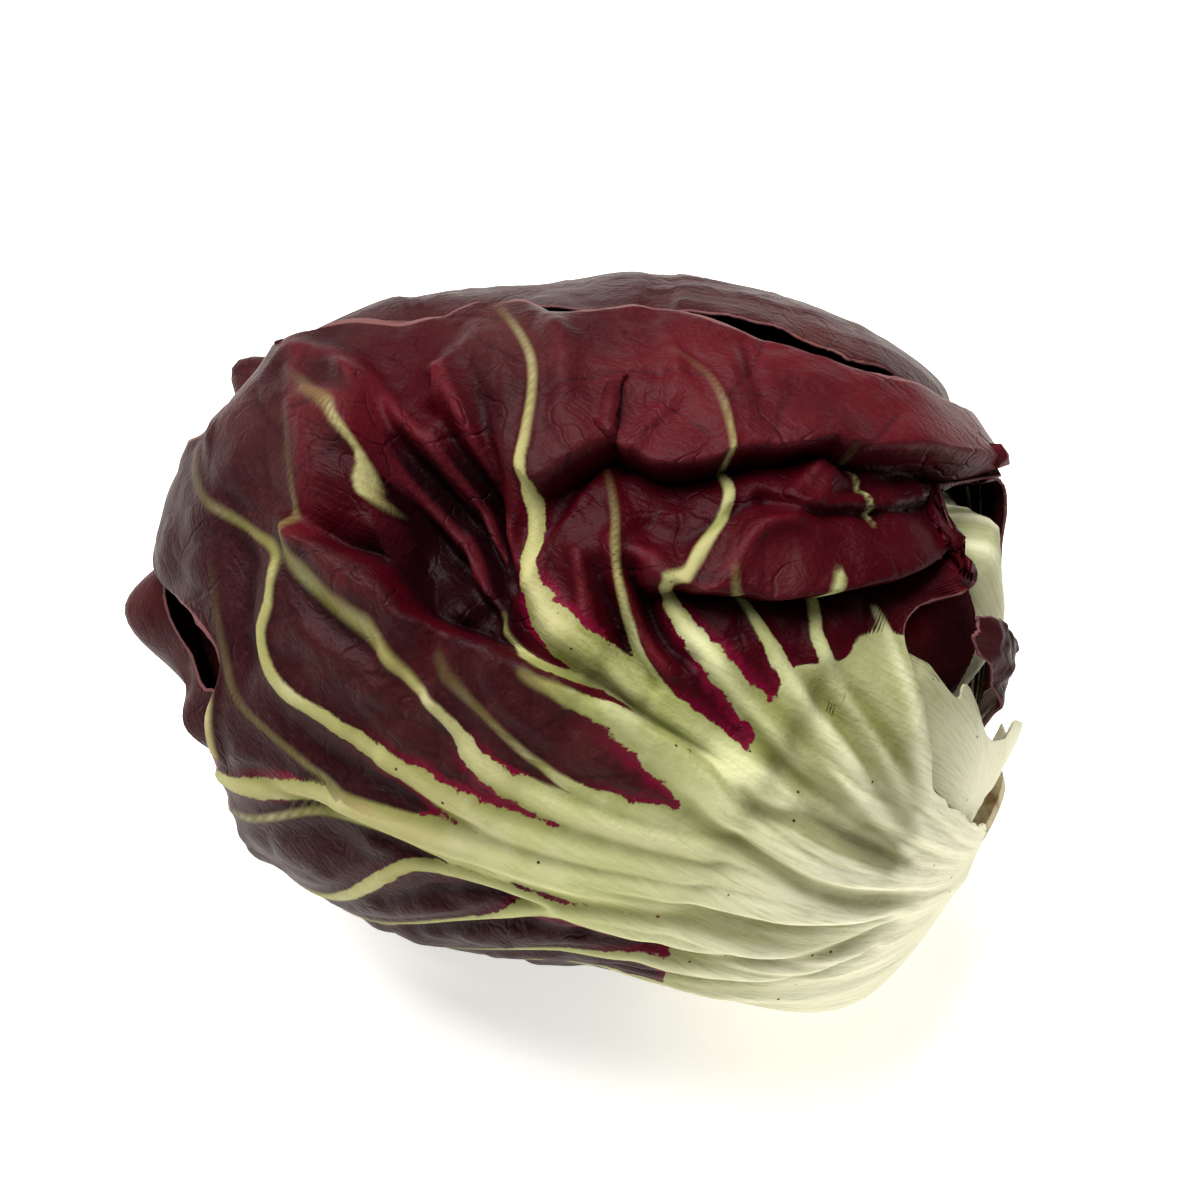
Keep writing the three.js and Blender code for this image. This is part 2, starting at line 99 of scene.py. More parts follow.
def body_radius(d):
    """The body's radius along the unit vector d."""
    along = np.abs(d[..., 0]) / np.where(d[..., 0] > 0, STEM_REACH, CROWN_REACH)
    around = np.hypot(d[..., 1] / HALF_DEPTH, d[..., 2] / HALF_HEIGHT)
    return (along ** SQUARENESS + around ** SQUARENESS) ** (-1 / SQUARENESS) + rise(UNEVEN, d)


def smooth(x, low, high):
    """Rises from 0 at low to 1 at high, level at both ends."""
    u = np.clip((x - low) / (high - low), 0, 1)
    return u * u * (3 - 2 * u)


def curve(points):
    """A smooth curve through (x, y) points, held level past its ends."""
    xs, ys = (np.array(v, float) for v in zip(*points))
    before, after = np.maximum(np.arange(len(xs)) - 1, 0), np.minimum(np.arange(len(xs)) + 1, len(xs) - 1)
    slope = (ys[after] - ys[before]) / (xs[after] - xs[before])

    def at(x):
        x = np.clip(x, xs[0], xs[-1])
        i = np.clip(np.searchsorted(xs, x, side="right") - 1, 0, len(xs) - 2)
        h = xs[i + 1] - xs[i]
        u = (x - xs[i]) / h
        return (ys[i] * (1 + 2 * u) * (1 - u) ** 2 + slope[i] * h * u * (1 - u) ** 2
                + ys[i + 1] * u * u * (3 - 2 * u) + slope[i + 1] * h * u * u * (u - 1))
    return at


def lattice_noise(p, size, seed):
    """Smooth noise from -1 to 1 at points p, with features about size across."""
    q = p / size + seed * 17.31
    cell = np.floor(q).astype(np.int64)
    f = q - cell
    f = f * f * f * (f * (f * 6 - 15) + 10)
    total = np.zeros(p.shape[:-1])
    for corner in range(8):
        step = np.array([corner & 1, corner >> 1 & 1, corner >> 2 & 1])
        c = cell + step
        h = (c[..., 0] * 73856093 ^ c[..., 1] * 19349663 ^ c[..., 2] * 83492791 ^ seed * 2654435) & 0x7FFFFFFF
        h = (h * 1103515245 + 12345) & 0x7FFFFFFF
        h = (h ^ (h >> 13)) * 1274126177 & 0x7FFFFFFF
        value = h / 0x3FFFFFFF - 1
        weight = np.prod(np.where(step == 1, f, 1 - f), axis=-1)
        total += value * weight
    return total


def layered(p, size, seed, octaves=3):
    """Noise from about -1 to 1, with finer and weaker layers added to it."""
    return sum(lattice_noise(p, size / 2 ** k, seed + k) / 2 ** k for k in range(octaves)) / 1.6


def ray_noise(x, size, seed, octaves=2):
    """Layered noise along one measure."""
    return layered(np.stack([x, x * 0, x * 0], -1), size, seed, octaves)


# Waves, folds and pocket of the front leaf, as in the solids
WAVES = [
    (5.1, 3.7, -2.9, 0.4), (-3.3, 6.2, 4.1, 1.9), (7.4, -2.2, 5.6, 3.3), (-6.1, -5.3, 6.8, 5.1),
    (9.7, 8.4, 3.2, 0.9),
]
FOLDS = [
    {"line": [(62, -33), (73, -18), (82, -8), (90, -5), (96, 0), (102, 5), (108, 10), (118, 10), (120, 14),
              (124, 24)],
     "depth": 8.0, "relax": 9.0, "lean": 4.4},
    {"line": [(59, -25), (63, -15), (68, -3), (72, 7), (76, 12), (82, 18), (90, 22), (98, 26), (102, 30)],
     "depth": 6.5, "relax": 12.0, "lean": 4.2},
    {"line": [(64, -26), (68, -17), (74, -5), (79, 1), (87, 7), (92, 8)], "depth": 3.0, "relax": 5.0,
     "lean": 1.6},
]
CREASES = [
    {"line": [(74, 49), (88, 49.5), (106, 51), (118, 55), (130, 59), (142, 60), (150, 60)],
     "depth": 4.5, "relax": 10.0, "lean": 2.6},
    {"line": [(110, 51), (118, 55), (126, 58), (134, 59), (144, 59.5)], "depth": 5.0, "relax": 9.0,
     "lean": 1.0},
    {"line": [(128, 58), (134, 56), (138, 54), (145, 44), (149, 35), (153, 25), (158, 13)],
     "depth": 6.0, "relax": 11.0, "lean": 2.4},
]
POCKET = {"angle": 131, "lon": 37, "half_angle": 17, "half_lon": 17, "depth": 10.0}
POCKET_WALL = {"line": [(100, 47), (112, 45), (119, 41), (126, 27), (134, 10), (143, -7)]}
WALL_SLOPE = 6.0
GUARD_SHARE, GUARD_HALF_WIDTH, GUARD_RELAX, GUARD_SPREAD = 1.15, 5.0, 12.0, 12.0


def unrest(d, seed=0):
    """A slow unevenness from -1 to 1, different for each seed."""
    total = sum(
        np.sin(x * d[..., 0] + y * d[..., 1] + z * d[..., 2] + phase + seed * 1.7) for x, y, z, phase in WAVES
    )
    return np.clip(total / 2.6, -1, 1)


def fold_distance(fold, angle, lon):
    """Millimetres from a fold's line, positive on the side of lower longitude."""
    at = curve(fold["line"])
    slope = (at(angle + 1) - at(angle - 1)) / 2
    degree_of_lon = np.sin(np.radians(angle)) * MEAN_RADIUS * DEGREE
    return (at(angle) - lon) * degree_of_lon / np.hypot(1, slope * np.sin(np.radians(angle)))


def fold_strength(fold, angle, spread=0.0):
    """1 along a fold's line, fading to 0 past its ends."""
    first, last = fold["line"][0][0], fold["line"][-1][0]
    start = smooth(angle, first - 2 - spread / 12, first + 8 - spread / 6)
    return start * (1 - smooth(angle, last - 6 + spread / 4, last + 6 + spread))


def pocket(angle, lon, spread=0.0):
    """Depth of the pocket in mm."""
    from_middle = (angle - POCKET["angle"]) / POCKET["half_angle"]
    reach = np.hypot(from_middle, (lon - POCKET["lon"]) / POCKET["half_lon"])
    return POCKET["depth"] * (1 - smooth(reach, 0.25 + spread / 2, 1.25 + spread))


def front_recess(angle, lon):
    """How far the front leaf lies below the body in its pocket, under its folds and above its creases."""
    recess = pocket(angle, lon) * smooth(-fold_distance(POCKET_WALL, angle, lon), 0, WALL_SLOPE)
    for fold in FOLDS:
        d = fold_distance(fold, angle, lon)
        under = np.exp(np.minimum(d, 0) / fold["relax"])
        recess += fold["depth"] * fold_strength(fold, angle) * under * (1 - smooth(d, -1.0, 0.9))
    for crease in CREASES:
        d = fold_distance(crease, angle, lon)
        above = np.exp(-np.maximum(d, 0) / crease["relax"]) * smooth(d, -1.5, 1.8)
        recess += crease["depth"] * fold_strength(crease, angle) * above
    return recess


def guard(d):
    """Room that the deeper levels leave under the front leaf's folds and pocket."""
    angle, lon = polar(d)
    room = GUARD_SHARE * pocket(angle, lon, 0.25)
    for fold in [*FOLDS, *CREASES]:
        under = fold_distance(fold, angle, lon) * (1 if fold in CREASES else -1)
        beyond = np.maximum(under - GUARD_HALF_WIDTH, 0)
        away = np.where(under > 0, beyond, -2 * np.minimum(under + GUARD_HALF_WIDTH / 2, 0))
        strength = GUARD_SHARE * fold_strength(fold, angle, GUARD_SPREAD)
        room += strength * fold["depth"] * np.exp(-away / GUARD_RELAX)
    return room


# Ribs of the front leaf: (angle, longitude, half width of the pale band in mm) from the stem out, and the
# height in mm that each stands proud where it is widest
FRONT_RIBS = [
    (1.7, [(18, 58, 4.5), (43, 60, 4.5), (58, 64, 4.5), (78, 72, 5.0), (90, 77, 4.4), (98, 80, 3.9),
           (111, 86, 3.0), (118, 90, 2.4), (123, 94, 1.9), (131, 112, 1.0)]),
    (0.9, [(133, 106, 0.6), (142, 96, 0.6), (147, 97, 0.5), (150, 103, 0.4), (153, 125, 0.3)]),
    (1.2, [(60, 61, 4.0), (78, 67, 3.5), (90, 71, 3.3), (101, 74.5, 3.1), (108, 76, 2.7), (113, 76, 1.8),
           (120, 77.5, 1.3), (127, 79, 1.0), (134, 82, 0.9), (140, 80, 0.85), (143, 73, 0.7),
           (148, 68, 0.5), (155, 73, 0.35), (160, 80, 0.25), (169, 89, 0.2)]),
    (0.3, [(112, 84, 0.8), (118, 88, 0.45), (124, 88.5, 0.35), (130, 90, 0.3), (139, 93, 0.25),
           (146, 89, 0.2), (153, 86, 0.15)]),
    (1.1, [(65, 58, 3.5), (83, 63, 3.0), (95, 66, 2.6), (103, 67, 2.1), (108, 67, 1.6), (113, 65, 1.0),
           (119, 64, 0.65), (128, 64, 0.5), (137, 65.5, 0.42), (146, 65.5, 0.36), (149, 58, 0.3),
           (155, 46, 0.2), (160, 34, 0.15)]),
    (0.6, [(66, 55, 2.5), (84, 60, 1.9), (91, 61.5, 1.4), (98, 62, 0.7), (106, 61, 0.38), (112, 60, 0.3),
           (120, 60, 0.2)]),
    (1.5, [(46, 53, 3.0), (60, 55, 3.0), (72, 53.5, 2.9), (85, 52, 2.2), (96, 52, 1.4), (103, 53, 0.8),
           (109, 54, 0.3)]),
    (1.7, [(60, 50, 3.6), (74, 48, 3.4), (84, 46.5, 3.6), (92, 46, 3.9), (100, 45, 3.6), (106, 44.2, 3.4),
           (111, 43.5, 2.9), (115, 41, 2.0), (119, 37.5, 1.3), (121, 32, 1.2), (123, 28, 1.15),
           (126, 23, 0.9), (128, 17, 0.6), (130, 10, 0.5), (133, 2, 0.4), (139, -9, 0.28),
           (143, -17, 0.18)]),
    (0.5, [(100, 48, 1.6), (109, 51, 1.1), (116, 50.5, 0.55), (120, 48, 0.25)]),
    (1.2, [(62, 46, 2.5), (71, 46, 2.2), (82, 45, 1.6), (90, 43.5, 1.4), (96, 41, 1.1), (101, 37, 0.85),
           (107, 30, 0.5), (112, 22, 0.3), (118, 14, 0.16)]),
    (1.4, [(50, 41, 3.0), (57, 42, 3.1), (66, 41, 2.8), (78, 38, 2.4), (84, 36, 2.1), (90, 34, 1.7),
           (96, 31.5, 1.3), (99, 29, 1.0), (101, 27.5, 0.85), (99, 24, 0.7), (97, 17, 0.75), (98, 11, 0.8),
           (101, 7, 0.7), (103, 4, 0.5), (105, -1, 0.3), (110, -6, 0.2), (116, -8, 0.15)]),
    (0.9, [(60, 38, 2.4), (75, 32, 1.6), (84, 27, 0.9), (88, 24.5, 0.6), (90, 23, 0.5), (93, 20, 0.25)]),
    (1.0, [(52, 36, 2.4), (59, 35, 2.2), (70, 28, 1.4), (76, 24, 1.0), (78, 20, 0.8), (80, 16, 0.7),
           (80.5, 13, 0.5)]),
    (0.6, [(77, 3.5, 0.25), (78.5, 1, 0.5), (81, -2, 0.4), (85, -7, 0.2)]),
    (1.0, [(40, 37, 3.0), (51, 33, 2.4), (63, 22, 1.2), (70, 14, 0.5)]),
    (0.7, [(95, 82, 1.5), (105, 86, 1.0), (112, 89, 0.85), (117, 93, 0.7), (121, 98, 0.55),
           (125, 112, 0.4), (127, 118, 0.2)]),
    (1.1, [(70, 80, 2.6), (82, 83, 1.9), (90, 84, 1.5), (98, 86, 1.3), (106, 91, 1.1), (108, 98, 1.15),
           (109, 106, 1.0), (111, 116, 0.7), (116, 130, 0.3)]),
    (1.1, [(60, 76, 3.0), (76, 79, 2.3), (88, 86, 1.7), (92, 94, 1.3), (98, 104, 0.8), (103, 114, 0.5),
           (110, 128, 0.25)]),
    (0.9, [(55, 84, 2.6), (65, 87, 2.1), (73, 90, 1.5), (80, 97, 0.8), (86, 106, 0.5), (93, 120, 0.3)]),
    (0.8, [(40, 95, 2.5), (55, 98, 2.1), (65, 103, 1.2), (75, 112, 0.6), (88, 130, 0.3)]),
    (0.8, [(144, 46, 0.25), (146, 45, 0.7), (149, 38, 0.65), (152, 35, 0.5), (154, 32, 0.35),
           (161, 25, 0.2), (165, 20, 0.12)]),
]
FRONT_UPPER_EDGE = curve([
    (13, 30), (30, 34), (50, 34), (55, 28), (59, 24), (63, 20), (66, 14), (68, 2), (69, -10), (70, -24),
    (71, -32), (74, -36), (79, -29), (84, -21), (88, -19), (99, -18), (110, -17), (122, -19), (129, -15),
    (135, -17), (142, -20), (149, -18), (155, -15), (163, -12), (172, 0),
])
FRONT_LOWER_EDGE = curve([
    (13, 118), (30, 126), (50, 130), (70, 132), (90, 132), (110, 134), (119, 129), (125, 120), (131, 111),
    (135, 105), (140, 96), (144, 93), (149, 97), (152, 104), (155, 116), (159, 124), (165, 120), (172, 108),
])
FRONT_TIP = 171.0
# Rows of the front leaf's grid, closer together where its upper edge turns, and the even edge that its
# columns follow
FRONT_ROWS = curve([(0, LEAF_FOOT), (0.19, 52), (0.42, 78), (1, FRONT_TIP)])
FRONT_EVEN_LOW = curve([(13, 20), (50, 14), (63, 0), (68, -8), (74, -15), (84, -17), (172, -12)])
# The maroon lobes at the leaf's shoulder that hang towards the stem: angle, longitude, half widths and drop
SHOULDER_LOBES = [(68, 0, 9, 8, 8.5), (70, -30, 10, 9, 9.0)]
# The angle from the stem up to which the leaf is pale all over, against longitude
FRONT_PALE_TO = curve([
    (-40, 38), (6, 46), (14, 62), (19, 70), (24, 71), (30, 77), (37, 77), (42, 76), (47, 79), (53, 84),
    (60, 74), (80, 68), (100, 62), (130, 54),
])

# Ridges and grooves pressed into the front leaf: height and half width in mm, and the line of each
CREASED_LINES = [
    (-1.7, 1.5, [(74, 49), (70, 50), (65, 49), (60, 49), (52, 48), (44, 48)]),
    (-1.5, 1.8, [(77, 29), (72, 31), (65, 33), (57, 38), (48, 42)]),
    (-1.2, 1.7, [(72, 27), (68, 28), (64, 29), (58, 32), (50, 37)]),
    (-1.4, 1.8, [(84, 35), (79, 36), (70, 39), (61, 43), (50, 46)]),
    (-1.4, 1.8, [(90, 38), (79, 40.5), (68, 44), (58, 47), (48, 50)]),
    (-1.4, 1.8, [(78, 57), (68, 57), (56, 58), (44, 58), (36, 58)]),
    (-1.2, 1.4, [(84, 75), (74, 72), (62, 69), (50, 66), (38, 64)]),
    (-1.3, 1.5, [(80, 88), (68, 83), (56, 78), (44, 73), (34, 68)]),
    (-1.2, 1.4, [(72, 98), (60, 92), (48, 84), (36, 76)]),
    (1.3, 1.1, [(90, 6), (89, 3), (88, -1), (88, -3)]),
    (1.1, 1.0, [(88, 8), (87, 4), (86, -1)]),
    (1.0, 0.9, [(81, -5), (78, -10), (74, -17), (70, -24)]),
    (1.0, 0.9, [(81, 0), (78, -5), (74, -12), (68, -23)]),
    (-1.2, 0.8, [(84, 1), (80, -3), (76, -9), (71, -19)]),
    (1.4, 1.3, [(88, 11), (91, 14), (94, 21), (98, 25)]),
    (-1.3, 1.2, [(92, 9), (95, 12), (98, 18), (101, 22)]),
    (1.8, 1.3, [(110, 27), (108, 29), (106, 27), (103, 26), (102, 27)]),
    (2.2, 1.4, [(106, 31), (105, 32), (100, 36), (95, 39), (92, 40)]),
    (-2.2, 1.1, [(107, 28), (105, 29), (99, 34), (94, 37), (90, 37)]),
    (2.0, 1.4, [(113, 32), (111, 34), (106, 40), (99, 44), (94, 45)]),
    (-2.2, 1.2, [(110, 32), (104, 37), (98, 41), (93, 43)]),
    (1.4, 2.2, [(172, -14), (160, 31), (154, 40), (149, 53), (145, 65)]),
    (1.6, 1.8, [(164, 8), (159, 11), (153, 24), (149, 34), (145, 44), (138, 56)]),
    (-1.4, 1.5, [(142, 5), (138, 12), (133, 22), (128, 32), (122, 44)]),
    (1.2, 1.3, [(147, 0), (144, 17), (139, 32), (132, 44), (125, 52)]),
    (-1.6, 1.3, [(150, 68), (143, 66.5), (135, 66.5), (128, 65)]),
    (1.1, 1.4, [(148, 61.5), (141, 63), (134, 62.5), (126, 60)]),
    (-1.3, 1.6, [(158, 72), (152, 76), (147, 80), (142, 84), (138, 89)]),
    (-1.2, 1.6, [(128, 86), (120, 83), (112, 80), (103, 77)]),
    (-1.2, 1.6, [(128, 100), (120, 95), (112, 90), (104, 88)]),
    (-1.3, 1.6, [(106, 105), (101, 94), (95, 88), (88, 85)]),
    (-1.3, 1.6, [(100, 112), (94, 100), (88, 92), (80, 88)]),
    (0.9, 2.0, [(136, -14), (131, -6), (127, 4), (124, 14)]),
    (2.4, 1.3, [(120, 44), (128, 38), (137, 31), (147, 24), (156, 16)]),
    (2.1, 1.3, [(121, 47.5), (130, 44), (140, 40), (150, 34), (158, 28)]),
    (2.1, 1.3, [(119, 41), (126, 33), (134, 24), (142, 14), (148, 6)]),
    (-2.2, 1.2, [(121, 46), (129, 41), (138, 35.5), (148, 29)]),
    (-2.2, 1.2, [(119, 42.5), (127, 36), (135, 27.5), (144, 19)]),
    (-1.8, 1.3, [(122, 50), (131, 48), (141, 45), (149, 40)]),
    (0.8, 1.5, [(118, -15), (114, -7), (112, 2), (113, 8)]),
    (-0.8, 1.2, [(106, -15), (103, -9), (100, -4)]),
]
# Hollows of the front leaf as (angle, longitude, half width in degrees, height)
HOLLOWS = [(150, 77, 5.5, -2.4), (155, 63, 5, -2.0), (118, 98, 6, -1.4), (141, 88, 4, -1.2),
           (112, 66, 4, -1.0)]


def line_points(line, step=1.6):
    """A rib's line as points round the body, one every step millimetres, with its half widths."""
    nodes = np.array(line, float)
    at = direction(nodes[:, 0], nodes[:, 1]) * MEAN_RADIUS
    length = np.concatenate([[0], np.cumsum(np.linalg.norm(np.diff(at, axis=0), axis=1))])
    count = max(int(length[-1] / step), 2)
    along = np.linspace(0, length[-1], count + 1)
    pieces = [curve(list(zip(length, column))) for column in nodes.T]
    angle, lon, half = (piece(along) for piece in pieces)
    return direction(angle, lon) * MEAN_RADIUS, half


# A distance in mm beyond any on the head
FAR = 99.0
# The distance to a vein, in mm, that stands for none
PAST_VEINS = 9.0
# The least half width in mm of a rib's pale band, so that the grid still carries it
THINNEST_BAND = 0.5


def nearest_on_line(points, at, values):
    """Distance from each point to a line, and the line's value at the nearest place."""
    best = np.full(len(points), FAR)
    best_value = np.zeros(len(points))
    for a, b, value_a, value_b in zip(at[:-1], at[1:], values[:-1], values[1:]):
        ab = b - a
        u = np.clip(((points - a) @ ab) / (ab @ ab), 0, 1)
        d = np.linalg.norm(points - a - u[:, None] * ab, axis=1)
        closer = d < best
        best = np.where(closer, d, best)
        best_value = np.where(closer, value_a + (value_b - value_a) * u, best_value)
    return best, best_value


def rib_fields(points, ribs):
    """Per point: mm inside a rib's pale band, the nearest rib's half width, and how far ribs stand proud."""
    pale = np.full(len(points), -FAR)
    nearest = np.full(len(points), FAR)
    width = np.zeros(len(points))
    lift = np.zeros(len(points))
    for proud, line in ribs:
        at, half = line_points(line)
        widest = max(half.max(), 0.5)
        best, best_half = nearest_on_line(points, at, half)
        pale = np.maximum(pale, np.maximum(best_half, THINNEST_BAND) - best)
        closer = best < nearest
        nearest = np.where(closer, best, nearest)
        width = np.where(closer, best_half, width)
        spread = 0.85 + 0.42 * best_half
        lift = np.maximum(lift, proud * (best_half / widest) ** 0.5 * np.exp(-(best / spread) ** 2))
    return pale, width, lift


def pressed_lines(points, lines):
    """Height of ridges and grooves along lines."""
    total = np.zeros(len(points))
    for height, half, line in lines:
        at, share = line_points([(angle, lon, math.sin(math.pi * (i + 0.6) / (len(line) + 0.2)))
                                 for i, (angle, lon) in enumerate(line)])
        best, best_share = nearest_on_line(points, at, share)
        total += height * np.sqrt(np.clip(best_share, 0, 1)) * np.exp(-(best / half) ** 2)
    return total


# Steps in mm along a rib where veins may leave it, and along a vein
RIB_SAMPLE, VEIN_STEP = 0.8, 0.5


def side_veins(ribs, rng, from_angle=84.0):
    """Fine veins that leave the ribs, as unit vectors close together."""
    found = []
    rib_tree_points = np.concatenate([line_points(line)[0] for _, line in ribs])
    for _, line in ribs:
        at, _ = line_points(line, RIB_SAMPLE)
        unit = at / MEAN_RADIUS
        gap = rng.uniform(2, 6)
        side = rng.choice((-1, 1))
        for i in range(2, len(unit) - 1):
            gap -= RIB_SAMPLE
            if gap > 0 or math.degrees(math.acos(np.clip(unit[i] @ STEM, -1, 1))) < from_angle:
                continue
            gap = rng.uniform(4.0, 7.5)
            side = -side
            p = unit[i]
            ahead = unit[i + 1] - unit[i - 1]
            ahead /= np.linalg.norm(ahead)
            out = np.cross(p, ahead) * side
            turn = math.radians(rng.uniform(38, 58))
            heading = ahead * math.cos(turn) + out * math.sin(turn)
            bend = rng.uniform(-0.02, 0.035)
            for step in range(int(rng.uniform(16, 34))):
                p = p + heading * (VEIN_STEP / MEAN_RADIUS)
                p = p / np.linalg.norm(p)
                heading = heading + ahead * bend + rng.uniform(-0.05, 0.05) * np.cross(p, heading)
                heading = heading - p * (heading @ p)
                heading /= np.linalg.norm(heading)
                found.append(p)
                if step > 6 and np.min(np.linalg.norm(rib_tree_points - p * MEAN_RADIUS, axis=1)) < 1.0:
                    break
    return np.array(found)


def vein_distance(points, veins):
    """Distance in mm from each point to the nearest vein."""
    if not len(veins):
        return np.full(len(points), PAST_VEINS)
    tree = kdtree.KDTree(len(veins))
    for i, v in enumerate(veins):
        tree.insert(Vector(v * MEAN_RADIUS), i)
    tree.balance()
    return np.array([tree.find(Vector(p))[2] for p in points])


# The lowest height that a leaf may reach, under the body's centre
FLOOR = -(HALF_HEIGHT - REST_LEVEL * LEVEL_STEP - REST_FLAT)


def hold_above_floor(points, lift):
    """Flattens whatever would pass below the resting level."""
    points = points.copy()
    low = FLOOR + lift
    under = points[..., 2] < low
    points[..., 2] = np.where(under, low, points[..., 2])
    return points


def grid_normals(grid):
    """Unit normals of a grid of points."""
    du = np.gradient(grid, axis=0)
    dv = np.gradient(grid, axis=1)
    n = np.cross(du, dv)
    return n / np.maximum(np.linalg.norm(n, axis=-1, keepdims=True), 1e-9)


def leaf_piece(name, points, faces, fields, material, node):
    """One piece of the head from points in mm, with a value per point for each field."""
    mesh = bpy.data.meshes.new(name)
    mesh.from_pydata(((points + BODY_CENTRE) * MM).tolist(), [], faces)
    mesh.polygons.foreach_set("use_smooth", np.ones(len(faces), bool))
    for key, values in fields.items():
        layer = mesh.attributes.new(key, "FLOAT", "POINT")
        layer.data.foreach_set("value", values.astype(np.float32))
    mesh.materials.append(material)
    mesh.update()
    piece = bpy.data.objects.new(name, mesh)
    bpy.context.collection.objects.link(piece)
    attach(piece, "root")
    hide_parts(node)
    return piece


def sheet_object(name, outer, inner, fields, material, node):
    """A closed sheet from two grids of points, with the outer face's fields on both faces."""
    count = outer.shape[0] * outer.shape[1]
    points = np.concatenate([outer.reshape(-1, 3), inner.reshape(-1, 3)])
    index = np.arange(count).reshape(outer.shape[:2])
    quads = np.stack([index[:-1, :-1], index[1:, :-1], index[1:, 1:], index[:-1, 1:]], -1).reshape(-1, 4)
    faces = [quads, quads[:, ::-1] + count]
    for line, flip in ((index[:, 0], True), (index[:, -1], False), (index[0], False), (index[-1], True)):
        a, b = line[:-1], line[1:]
        rim = np.stack([a, b, b + count, a + count], -1)
        faces.append(rim[:, ::-1] if flip else rim)
    fields = {key: np.tile(values.reshape(-1), 2) for key, values in fields.items()}
    return leaf_piece(name, points, np.concatenate(faces).tolist(), fields, material, node)


def lean_over(outer, even, distance, amount):
    """Shifts points along the even surface, down the gradient of distance, by amount in mm."""
    along_rows, along_columns = np.gradient(distance)
    du, dv = np.gradient(even, axis=0), np.gradient(even, axis=1)
    du /= np.maximum((du ** 2).sum(-1, keepdims=True), 1e-6)
    dv /= np.maximum((dv ** 2).sum(-1, keepdims=True), 1e-6)
    towards = along_rows[..., None] * du + along_columns[..., None] * dv
    towards /= np.maximum(np.linalg.norm(towards, axis=-1, keepdims=True), 1e-6)
    return outer - towards * amount[..., None]


def rooted(line):
    """A rib's line, run on to the leaf's foot where it starts further out."""
    angle, lon, half = line[0]
    return line if not 30 < angle < 75 else [(24, lon + 0.1 * (62 - lon), 0.4 * half), *line]


# Rows and columns of the leaves' grids, and the level at which the inner leaves begin
FRONT_GRID, OUTER_GRID, INNER_GRID = (226, 210), (150, 120), (100, 80)
FIRST_INNER_LEVEL = 4


